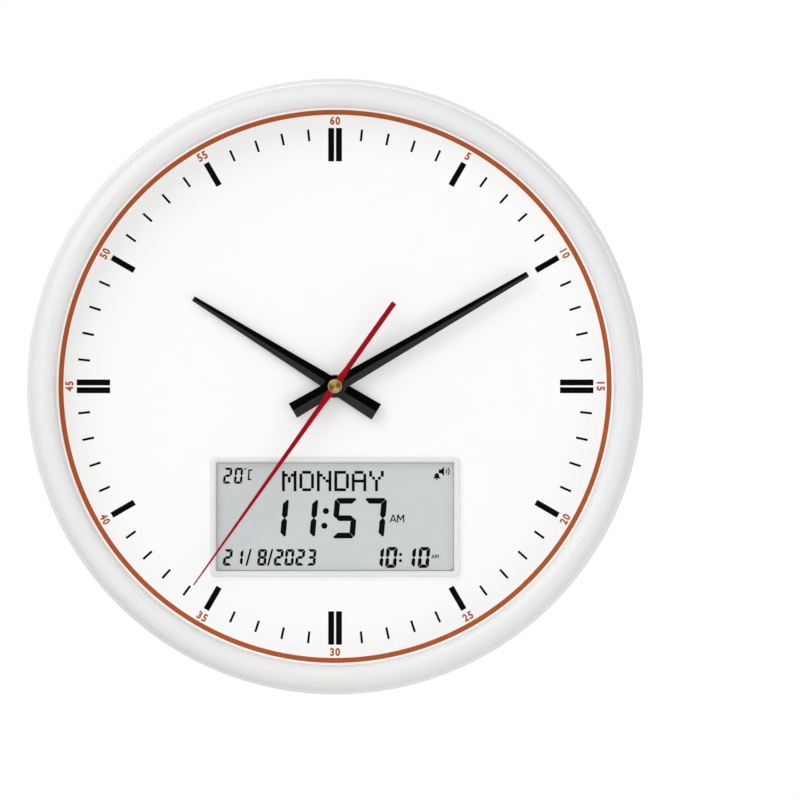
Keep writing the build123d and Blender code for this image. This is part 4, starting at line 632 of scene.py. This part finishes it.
def speaker_film(name, colour, centre):
    """Pressed film cone: dark polyester with the shallow rings that let it move."""
    material, place = begin(name)
    rings = ridges(from_axis(place, centre), pitch_mm=1.4)
    film = toned(colour, span(noise(place, size_mm=1.2, detail=4.0), 0.8, 1.3))
    return surface(material, film, roughness=0.42, IOR=1.5, Normal=relief(rings, strength=1.0, depth_mm=0.07))


def painted_board(name, colour):
    """Matt painted board: an even pale face with a faint roller texture."""
    material, place = begin(name)
    paint = toned(colour, span(noise(place, size_mm=3.0, detail=2.0), 0.985, 1.0))
    return surface(material, paint, roughness=0.8, IOR=1.3)


# ---- sizes and colours a user may change


def tint(name, description, code):
    return FloatVectorProperty(name=name, description=description, subtype="COLOR", default=linear(code))


def length(name, description, size_mm):
    return FloatProperty(name=name, description=description, unit="LENGTH", default=size_mm * MM, min=0.0)


def power(name, description, watts):
    return FloatProperty(name=name, description=description, unit="POWER", default=watts, min=0.0)


class DialSettings(bpy.types.PropertyGroup):
    """Printing on the dial sheet."""

    sheet: tint("Sheet", "Colour of the dial sheet", "#FCFCFC")
    ink: tint("Black ink", "Colour of the bars and ticks", "#070708")
    accent: tint("Ring ink", "Colour of the ring and the numerals", "#B25A31")
    ring_inner: length("Ring inner radius", "Inner edge of the printed ring", 145.15)
    ring_outer: length("Ring outer radius", "Outer edge of the printed ring", 147.8)
    bar_width: length("Bar width", "Width of an hour bar", 3.16)
    bar_gap: length("Bar gap", "Gap between the two bars of a quarter", 1.0)
    tick_width: length("Tick width", "Width of a minute tick", 1.22)
    numeral_height: length("Numeral height", "Height of the minute numerals", 4.4)
    film: length("Ink film", "Thickness of the printed ink", 0.03)


class DisplaySettings(bpy.types.PropertyGroup):
    """What the digital display shows."""

    ground: tint("Ground", "Colour of the display's ground", "#CBCFCF")
    ink: tint("Segments", "Colour of the switched segments", "#050608")
    frame: tint("Frame", "Colour of the frame round the display", "#E7E8E7")
    word: StringProperty(name="Word", description="Word in dots, of M, O, N, D, A and Y", default="MONDAY")
    big_time: StringProperty(name="Next time", description="Hours and minutes in large digits", default="1157")
    small_time: StringProperty(name="Time", description="Hours and minutes in small digits", default="1010")
    stroke: length("Large stroke", "Width of the large digits' segments", 3.05)
    dot: length("Dot pitch", "Pitch of the dot matrix", 1.555)
    view_width: length("Window width", "Width of the frame's window", 126.8)
    view_height: length("Window height", "Height of the frame's window", 57.9)
    # width of the painted shadow line in the gap round the display's window
    seam: length("Edge line", "Width of the line round the display", 0.38)


class HandSettings(bpy.types.PropertyGroup):
    """Finish of the three hands."""

    # the two facet colours are painted light and painted shade: the satin facet paler as if lit, the polished one
    # darker
    polished: tint("Polished facet", "Colour of the dark facet", "#020203")
    satin: tint("Satin facet", "Colour of the lighter facet", "#303032")
    second: tint("Second hand", "Colour of the second hand", "#980C1C")
    # the cap's pale fans are painted highlight and its deep fans painted shade
    brass: tint("Cap", "Colour of the brass cap's pale fans", "#B39A62")
    brass_deep: tint("Cap, deep", "Colour of the cap's deep fans", "#76551F")
    hour_angle: FloatProperty(
        name="Hour hand", description="Clock angle of the hour hand", subtype="ANGLE", default=math.radians(301.8)
    )
    minute_angle: FloatProperty(
        name="Minute hand", description="Clock angle of the minute hand", subtype="ANGLE", default=math.radians(59.8)
    )


class CaseSettings(bpy.types.PropertyGroup):
    """Mouldings of the case and the module."""

    bezel: tint("Bezel", "Colour of the bezel", "#EAEAEA")
    back: tint("Back", "Colour of the rear case and the module", "#E9EAE9")
    movement: tint("Movement", "Colour of the movement's case", "#19191B")
    mark: tint("Marks", "Colour of the marks on the back", "#4A4D50")
    grain: length("Eroded grain", "Size of the grain on matt mouldings", 0.55)


class StageSettings(bpy.types.PropertyGroup):
    """Floor, light and camera."""

    floor: tint("Floor", "Colour of the floor", "#EDEDEB")
    floor_height: FloatProperty(name="Floor height", description="Height of the floor", unit="LENGTH", default=-1.35)
    ambient: FloatProperty(name="Ambient light", description="Even light from all round", default=0.54, min=0.0)
    key_power: power("Key light", "Power of the large soft light at the upper left", 30.0)
    front_power: power("Front light", "Power of the light that lifts the hands' shadows", 12.0)
    side_power: power("Side light", "Power of the low light at the right", 7.5)
    back_power: power("Back light", "Power of the light behind the clock", 26.0)
    lens: FloatProperty(name="Lens", description="Focal length in millimetres", default=200.0, min=1.0)
    segments: IntProperty(name="Floor segments", description="Segments round the floor's edge", default=96, min=12)


# ---- operators, one for each group of pieces


class CLOCK_OT_case(bpy.types.Operator):
    """Finishes the bezel, the rear case and the pieces round the glass."""

    bl_idname = "wall_clock.case"
    bl_label = "Case and bezel"

    def execute(self, context):
        case = context.scene.clock_case
        give(gloss_moulded("gloss moulded ABS, bezel", case.bezel, roughness=0.36), "front_bezel")
        give(eroded_moulded("spark eroded ABS, rear case", case.back, case.grain / MM), "rear_case")
        spacer = eroded_moulded("matt moulded ABS, spacer", "#F4F4F3", grain_mm=0.8, depth_mm=0.01, roughness=0.5)
        give(spacer, "dial_spacer_ring", "dial_plate")
        give(float_glass(), "front_glass")
        give(plated_metal("zinc plated steel, case screws", "#C7C9CB", roughness=0.32, spot_mm=0.5), "case_screws")
        return {"FINISHED"}


class CLOCK_OT_dial(bpy.types.Operator):
    """Prints the ring, the bars, the ticks and the minute numerals on the dial sheet."""

    bl_idname = "wall_clock.dial"
    bl_label = "Dial printing"

    # inner and outer ends of the radial prints
    quarter_ends = (120.2 * MM, 138.05 * MM)
    hour_ends = (123.9 * MM, 137.7 * MM)
    tick_ends = (131.7 * MM, 138.0 * MM)
    numeral_radius = 141.95 * MM
    narrow_numerals = {5: 2.4 * MM, 10: 4.7 * MM, 15: 4.7 * MM}
    numeral_width = 5.4 * MM

    def execute(self, context):
        dial = context.scene.clock_dial
        give(dial_sheet("enamelled dial sheet", dial.sheet), "dial_face")
        black = screen_ink("screen printed black ink", dial.ink)
        accent = screen_ink("screen printed orange ink", dial.accent)
        circles = annulus((0.0, 0.0), dial.ring_inner, dial.ring_outer, 240)
        ring = slabs("printed_ring", circles, DIAL_TOP, dial.film, accent)

        bars = []
        aside = (dial.bar_width + dial.bar_gap) / 2
        for hour in range(12):
            if hour % 3 == 0:
                bars += [bar(hour * 30, self.quarter_ends, dial.bar_width, side * aside) for side in (-1, 1)]
            else:
                bars.append(bar(hour * 30, self.hour_ends, dial.bar_width))
        hours = slabs("printed_hour_bars", bars, DIAL_TOP, dial.film, black)
        ticks = [bar(minute * 6, self.tick_ends, dial.tick_width) for minute in range(60) if minute % 5]
        minutes = slabs("printed_minute_ticks", ticks, DIAL_TOP, dial.film, black)

        words = []
        for hour in range(12):
            minute = 5 * hour or 60
            width = self.narrow_numerals.get(minute, self.numeral_width)
            turn = hour * 30 if hour < 4 or hour > 8 else hour * 30 + 180  # none stands on its head
            place = facing_reader(*on_dial(self.numeral_radius, hour * 30), DIAL_TOP, turn)
            number = lettering(str(minute), width, dial.numeral_height, dial.film, bold=0.04, spacing=1.2)
            words.append((number, place))
        numerals = join_words("printed_minute_numerals", words, accent)
        for piece in (ring, hours, minutes, numerals):
            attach(piece, "clock")
        return {"FINISHED"}


class CLOCK_OT_display(bpy.types.Operator):
    """Shows the weekday, the next time, the date, the time and the temperature on the display."""

    bl_idname = "wall_clock.display"
    bl_label = "Digital display"

    def execute(self, context):
        shown = context.scene.clock_display
        give(lcd_ground("reflective display under polariser", shown.ground), "lcd_cell")
        satin = gloss_moulded("satin moulded ABS, display frame", shown.frame, roughness=0.3, ripple_mm=6.0)
        give(satin, "lcd_frame")
        give(zebra_rubber("layered silicone connector"), "lcd_connector_strips")
        middle = centre_of("lcd_frame")
        ink = lcd_ink("switched liquid crystal", shown.ink)

        # AM beside each time: left, bottom, width, height and stroke
        letters = half_day(29.1, -3.05, 7.9, 4.15, 0.66) + half_day(51.4, -22.3, 4.0, 2.05, 0.38)
        segments = slabs("display_segments", laid(self.characters(shown), middle), CELL_TOP, FILM, ink)
        letters = slabs("display_half_day", laid(letters, middle), CELL_TOP, FILM, ink)

        # painted shadow of the gap between the cell and its frame, a thin grey line round the window
        wide, tall, seam = shown.view_width, shown.view_height, shown.seam
        outer = rounded_loop(middle, wide, tall, [0.8 * MM] * 4)
        inner = rounded_loop(middle, wide - 2 * seam, tall - 2 * seam, [0.5 * MM, 1.8 * MM, 0.5 * MM, 0.5 * MM])
        # grey ink that stands for the shadow in the gap: painted shadow
        grey = screen_ink("painted shadow line, grey", "#8E9292")
        edge = slabs("display_painted_shadow_line", between(outer, inner), CELL_TOP, FILM, grey)
        for piece in (segments, letters, edge):
            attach(piece, "clock")
        return {"FINISHED"}

    def characters(self, shown):
        """Outlines of all that is switched on, in millimetres from the display's centre."""
        rows = (  # text, left edge of each digit, bottom, digit's width and height, stroke, gap
            (shown.big_time, (-39.0, -23.3, -2.0, 13.5), -11.6, 12.5, 21.6, shown.stroke / MM, 0.1),
            ("2182023", (-60.15, -54.45, -41.8, -32.95, -27.2, -21.45, -15.45), -26.2, 4.8, 8.85, 1.5, 0.16),
            (shown.small_time, (19.4, 26.6, 36.5, 44.0), -27.4, 6.0, 11.2, 1.9, 0.18),
            ("20", (-60.05, -54.25), 17.6, 4.45, 8.6, 1.3, 0.16),
        )
        shapes = []
        for text, lefts, bottom, *form in rows:
            for digit, left in zip(text, lefts):
                shapes += segment_digit(digit, left, bottom, *form)
        shapes += [circle(spot, 1.65) for spot in ((-4.95, 3.05), (-5.75, -4.85))]  # large colon
        shapes += [circle(spot, 0.85, 12) for spot in ((35.0, -20.2), (34.95, -23.5))]  # small colon
        shapes += [moved(DATE_SLASH, left, -26.2) for left in (-48.0, -36.45)]
        shapes += [DEGREES_C, *annulus((-47.9, 25.6), 0.25, 0.6, 12)]
        shapes += dot_matrix(shown.word, middle=-1.2, top=24.5, pitch=shown.dot / MM)
        shapes += [LOUDSPEAKER, BELL, circle((54.4, 19.8), 0.42, 10)]
        shapes += [arc_band((58.1, 24.2), radius, 0.55, 48, 132, 8) for radius in (1.6, 2.9)]  # sound waves
        return shapes


class CLOCK_OT_hands(bpy.types.Operator):
    """Lacquers the hands and turns the brass cap, with painted light and shade on the hands' facets and the cap's
    fans.
    """

    bl_idname = "wall_clock.hands"
    bl_label = "Hands"

    def execute(self, context):
        hands = context.scene.clock_hands
        for name, turn, side in (("minute", hands.minute_angle, 1), ("hour", hands.hour_angle, -1)):
            # across points to the side of each hand that is painted paler as if lit
            across = (side * math.cos(turn), 0.0, -side * math.sin(turn))
            coat = facet_lacquer(f"lacquered aluminium, {name} hand", hands.polished, hands.satin, across)
            give(coat, f"{name}_hand")
        give(lacquer("crimson lacquered aluminium", hands.second), "second_hand")
        low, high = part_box("second_hand_cap")
        radius, bevel = (high.x - low.x) / 2, 0.7 * MM
        # C0A884 is a painted highlight on the cap's bevelled rim
        cap = spun_brass("spun brass, cap", hands.brass, hands.brass_deep, "#C0A884", radius, bevel)
        give(cap, "second_hand_cap")
        collet = turned_metal("turned brass, collets", "#B98F4A", pitch_mm=0.36, roughness=0.3)
        give(collet, "hour_hand_collet", "minute_hand_collet")
        bush = turned_metal("turned brass, bush and nut", "#C6A05A", pitch_mm=0.7, roughness=0.3)
        give(bush, "threaded_bush", "fixing_nut")
        give(plated_metal("nickel plated steel, washer", "#C9CACB", roughness=0.28), "fixing_washer")
        rubber = eroded_moulded("moulded rubber, washer", "#1B1B1C", grain_mm=0.6, depth_mm=0.03, roughness=0.75)
        give(rubber, "rubber_washer")
        return {"FINISHED"}


class CLOCK_OT_movement(bpy.types.Operator):
    """Finishes the quartz movement and the pieces inside it."""

    bl_idname = "wall_clock.movement"
    bl_label = "Quartz movement"

    coil_half_length = 9.0 * MM

    def execute(self, context):
        case = context.scene.clock_case
        shell = eroded_moulded("spark eroded ABS, movement", case.movement, grain_mm=0.6, roughness=0.5)
        give(shell, "movement_case", "movement_plate")
        give(acetal("acetal, natural", "#E9E6DC"), "second_wheel", "centre_wheel", "hour_wheel")
        give(acetal("acetal, red", "#B4423A"), "intermediate_wheel", "motion_wheel")
        give(acetal("acetal, blue", "#3F6FA3"), "third_wheel", "cannon_pinion")
        plate = eroded_moulded("moulded ABS, bearing plate", "#D9D8D2", grain_mm=0.7, depth_mm=0.012, roughness=0.45)
        give(plate, "bearing_plate")
        give(plated_metal("annealed soft iron, stator", "#9A9DA0", roughness=0.36, spot_mm=1.2), "stator")
        coil = ("enamelled copper wire on a bobbin", centre_of("coil")[0], self.coil_half_length)
        give(wound_copper(*coil, bobbin="#E4E1D6", core="#9A9DA0"), "coil")
        give(turned_metal("sintered ferrite, rotor", "#6B6C70", 0.6, 0.42, centre_of("rotor")), "rotor")
        give(circuit_board("circuit board, movement", "#16532F", "#3B8A55", pitch_mm=1.4), "movement_board")
        give(plated_metal("nickel plated can, crystal", "#CFCFCC", roughness=0.22), "quartz_crystal")
        give(cell_sleeve("printed shrink sleeve, movement cell", "movement_cell", "#2E5E8C"), "movement_cell")
        give(plated_metal("nickel plated spring steel, movement", "#D2D1CC", roughness=0.24), "movement_contacts")
        knob = eroded_moulded("moulded ABS, setting knob", "#D8D9D8", grain_mm=0.5, depth_mm=0.015, roughness=0.45)
        give(knob, "set_knob")

        # two arrows round the setting knob, in millimetres and degrees
        radius, stroke, sweep, head, barb = 8.2, 0.7, 110, 16, 1.3
        shapes = []
        for start in (20, 200):
            tail = arc_band((0, 0), radius, stroke, start, start + sweep, 14)
            tip = [on_dial(radius, start - head), on_dial(radius + barb, start), on_dial(radius - barb, start)]
            shapes += [tail, tip]
        pale = screen_ink("pad printed pale ink", "#C9CBCC")
        shapes = laid(shapes, centre_of("set_knob"))
        arrows = slabs("movement_turn_arrows", shapes, back_of("movement_case"), PAD_FILM, pale, 1)
        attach(arrows, "clock")
        return {"FINISHED"}


class CLOCK_OT_module(bpy.types.Operator):
    """Finishes the module behind the display: housing, boards, cells, speaker and keys."""

    bl_idname = "wall_clock.module"
    bl_label = "Azan module"

    def execute(self, context):
        case = context.scene.clock_case
        speaker = centre_of("speaker_frame")
        give(eroded_moulded("spark eroded ABS, module", case.back, case.grain / MM), "module_housing")
        door = eroded_moulded("spark eroded ABS, battery door", "#E4E5E4", case.grain / MM, depth_mm=0.015)
        give(door, "battery_door")
        screws = plated_metal("zinc plated steel, module screws", "#C2C4C6", roughness=0.34, spot_mm=0.5)
        give(screws, "module_screws", "board_screws")
        give(cell_sleeve("printed shrink sleeve, module cells", "module_cells", "#2F6B4A"), "module_cells")
        give(plated_metal("nickel plated spring steel, module", "#D2D1CC", roughness=0.24), "module_contacts")
        give(circuit_board("circuit board, main", "#14502C", "#35824E"), "main_board")
        give(circuit_board("circuit board, keys", "#14502C", "#35824E", pitch_mm=1.8), "key_board")
        epoxy = eroded_moulded("moulded epoxy, chips", "#1C1C1E", grain_mm=0.4, depth_mm=0.01, roughness=0.5)
        give(epoxy, "board_chips")
        nylon = eroded_moulded("moulded nylon, switches", "#26262A", grain_mm=0.4, depth_mm=0.01, roughness=0.42)
        give(nylon, "key_switches", "slider_switch")
        basket = plated_metal("pressed zinc plated steel, speaker", "#B7BABC", roughness=0.34, spot_mm=1.5)
        give(basket, "speaker_frame")
        give(speaker_film("pressed polyester film, cone", "#202124", speaker), "speaker_cone")
        give(turned_metal("sintered ferrite, speaker magnet", "#55565A", 1.0, 0.45, speaker), "speaker_magnet")
        give(gloss_moulded("satin moulded ABS, keys", "#F2F2F1", roughness=0.34, ripple_mm=3.0), *KEY_SYMBOLS)
        slider = eroded_moulded("moulded ABS, slider", "#5A5D60", grain_mm=0.4, depth_mm=0.012, roughness=0.42)
        give(slider, "sound_slider")
        self.marks(screen_ink("pad printed grey ink", case.mark))
        return {"FINISHED"}

    def marks(self, ink):
        """Symbols on the keys, an arrow on the battery door, and ON and OFF at the slider."""
        for key, outlines in KEY_SYMBOLS.items():
            shapes = laid(outlines, centre_of(key), mirror=-1)
            mark = slabs(key.replace("_button", "_symbol"), shapes, back_of(key), PAD_FILM, ink, 1)
            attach(mark, key)

        corner = (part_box("battery_door")[0].x, centre_of("battery_door")[1])
        arrow = laid([DOOR_ARROW], corner)
        pull = slabs("battery_door_arrow", arrow, back_of("battery_door"), PAD_FILM, ink, 1)
        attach(pull, "battery_door")

        left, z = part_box("sound_slider")[0].x, centre_of("sound_slider")[1] + 4.6 * MM
        words = [
            (lettering(text, width * MM, 1.8 * MM, PAD_FILM), facing_wall(left + x * MM, z, PANEL_BACK))
            for text, width, x in (("OFF", 4.2, 1.6), ("ON", 2.8, 8.6))
        ]
        labels = join_words("slider_labels", words, ink)
        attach(labels, "clock")


class CLOCK_OT_stage(bpy.types.Operator):
    """Sets the pale floor, the soft studio light, the world and the camera."""

    bl_idname = "wall_clock.stage"
    bl_label = "Studio"

    floor_rings = ((0.9, 0.0), (1.8, 0.0), (2.4, 0.0), (2.6, -0.03))  # radius and drop, to a soft edge
    camera_place = (34.7 * MM, -2405 * MM, -7.3 * MM)

    def execute(self, context):
        stage = context.scene.clock_stage
        self.floor(stage)
        self.world(context.scene, stage)
        self.area("key_light", (-1.6, -1.5, 1.8), size=2.2, power=stage.key_power)
        self.area("front_fill", (0.03, -2.5, 0.0), size=0.5, power=stage.front_power, mirrored=False)
        self.area("side_fill", (1.5, -1.3, -0.9), size=1.6, power=stage.side_power)
        self.area("back_fill", (0.5, 2.2, 1.0), size=2.4, power=stage.back_power)
        self.camera(context.scene, stage)
        context.scene.view_settings.view_transform = "Standard"
        return {"FINISHED"}

    def floor(self, stage):
        """Round floor in rings of faces about one middle point."""
        made = bmesh.new()
        count = stage.segments
        middle = made.verts.new((0, 0, stage.floor_height))
        rings = [
            [made.verts.new((*on_dial(radius, 360 * n / count), stage.floor_height + drop)) for n in range(count)]
            for radius, drop in self.floor_rings
        ]
        for n in range(count):
            m = (n + 1) % count
            made.faces.new((middle, rings[0][m], rings[0][n]))
            for inner, outer in zip(rings, rings[1:]):
                made.faces.new((inner[n], inner[m], outer[m], outer[n]))
        made.normal_update()
        floor = object_from(made, "studio_floor", painted_board("matt painted board", stage.floor))

    def world(self, scene, stage):
        """White where it is seen or mirrored, and a softer white where it only lights."""
        world = bpy.data.worlds.new("studio")
        scene.world = world
        world.use_nodes = True
        tree = world.node_tree
        tree.nodes.clear()
        path = add("ShaderNodeLightPath", tree=tree).outputs
        seen = maths("MAXIMUM", path["Is Camera Ray"], path["Is Glossy Ray"])
        through = maths("MAXIMUM", seen, path["Is Transmission Ray"])
        soft = add("ShaderNodeBackground", {"Color": WHITE, "Strength": stage.ambient}, tree)
        white = add("ShaderNodeBackground", {"Color": WHITE, "Strength": 1.0}, tree)
        mixed = add("ShaderNodeMixShader", {"Fac": through, 1: soft, 2: white})
        output = add("ShaderNodeOutputWorld", {"Surface": mixed})
        output.is_active_output = True

    def area(self, name, position, size, power, mirrored=True):
        """Square lamp that points at the clock. One that isn't mirrored only lifts the shadows."""
        data = bpy.data.lights.new(name, "AREA")
        data.shape = "SQUARE"
        data.size = size
        data.energy = power
        light = bpy.data.objects.new(name, data)
        light.location = position
        light.rotation_mode = "QUATERNION"
        light.rotation_quaternion = (-Vector(position)).to_track_quat("-Z", "Y")
        light.visible_glossy = mirrored
        bpy.context.scene.collection.objects.link(light)

    def camera(self, scene, stage):
        data = bpy.data.cameras.new("camera")
        data.lens = stage.lens
        data.sensor_width = 36.0
        data.clip_start, data.clip_end = 0.1, 20.0
        camera = bpy.data.objects.new("camera", data)
        camera.location = self.camera_place
        camera.rotation_euler = (math.radians(90), 0, 0)
        scene.collection.objects.link(camera)
        scene.camera = camera


class CLOCK_PT_panel(bpy.types.Panel):
    """Lists the settings and the operators."""

    bl_idname = "CLOCK_PT_panel"
    bl_label = "Wall Clock"
    bl_space_type = "VIEW_3D"
    bl_region_type = "UI"
    bl_category = "Wall Clock"

    def draw(self, context):
        for operator in OPERATORS:
            self.layout.operator(operator.bl_idname)
        for name, group in GROUPS.items():
            box = self.layout.box()
            box.label(text=group.__doc__)
            for prop in group.__annotations__:
                box.prop(getattr(context.scene, name), prop)


GROUPS = {
    "clock_dial": DialSettings,
    "clock_display": DisplaySettings,
    "clock_hands": HandSettings,
    "clock_case": CaseSettings,
    "clock_stage": StageSettings,
}
OPERATORS = (
    CLOCK_OT_case, CLOCK_OT_dial, CLOCK_OT_display, CLOCK_OT_hands,
    CLOCK_OT_movement, CLOCK_OT_module, CLOCK_OT_stage,
)


def register():
    for name, group in GROUPS.items():
        bpy.utils.register_class(group)
        setattr(bpy.types.Scene, name, PointerProperty(type=group))
    for shown in (*OPERATORS, CLOCK_PT_panel):
        bpy.utils.register_class(shown)


def unregister():
    for shown in (CLOCK_PT_panel, *reversed(OPERATORS)):
        bpy.utils.unregister_class(shown)
    for name, group in reversed(list(GROUPS.items())):
        delattr(bpy.types.Scene, name)
        bpy.utils.unregister_class(group)


def main():
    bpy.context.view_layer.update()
    register()
    bpy.ops.wall_clock.case()
    bpy.ops.wall_clock.dial()
    bpy.ops.wall_clock.display()
    bpy.ops.wall_clock.hands()
    bpy.ops.wall_clock.movement()
    bpy.ops.wall_clock.module()
    bpy.ops.wall_clock.stage()


if __name__ == "__main__":
    main()
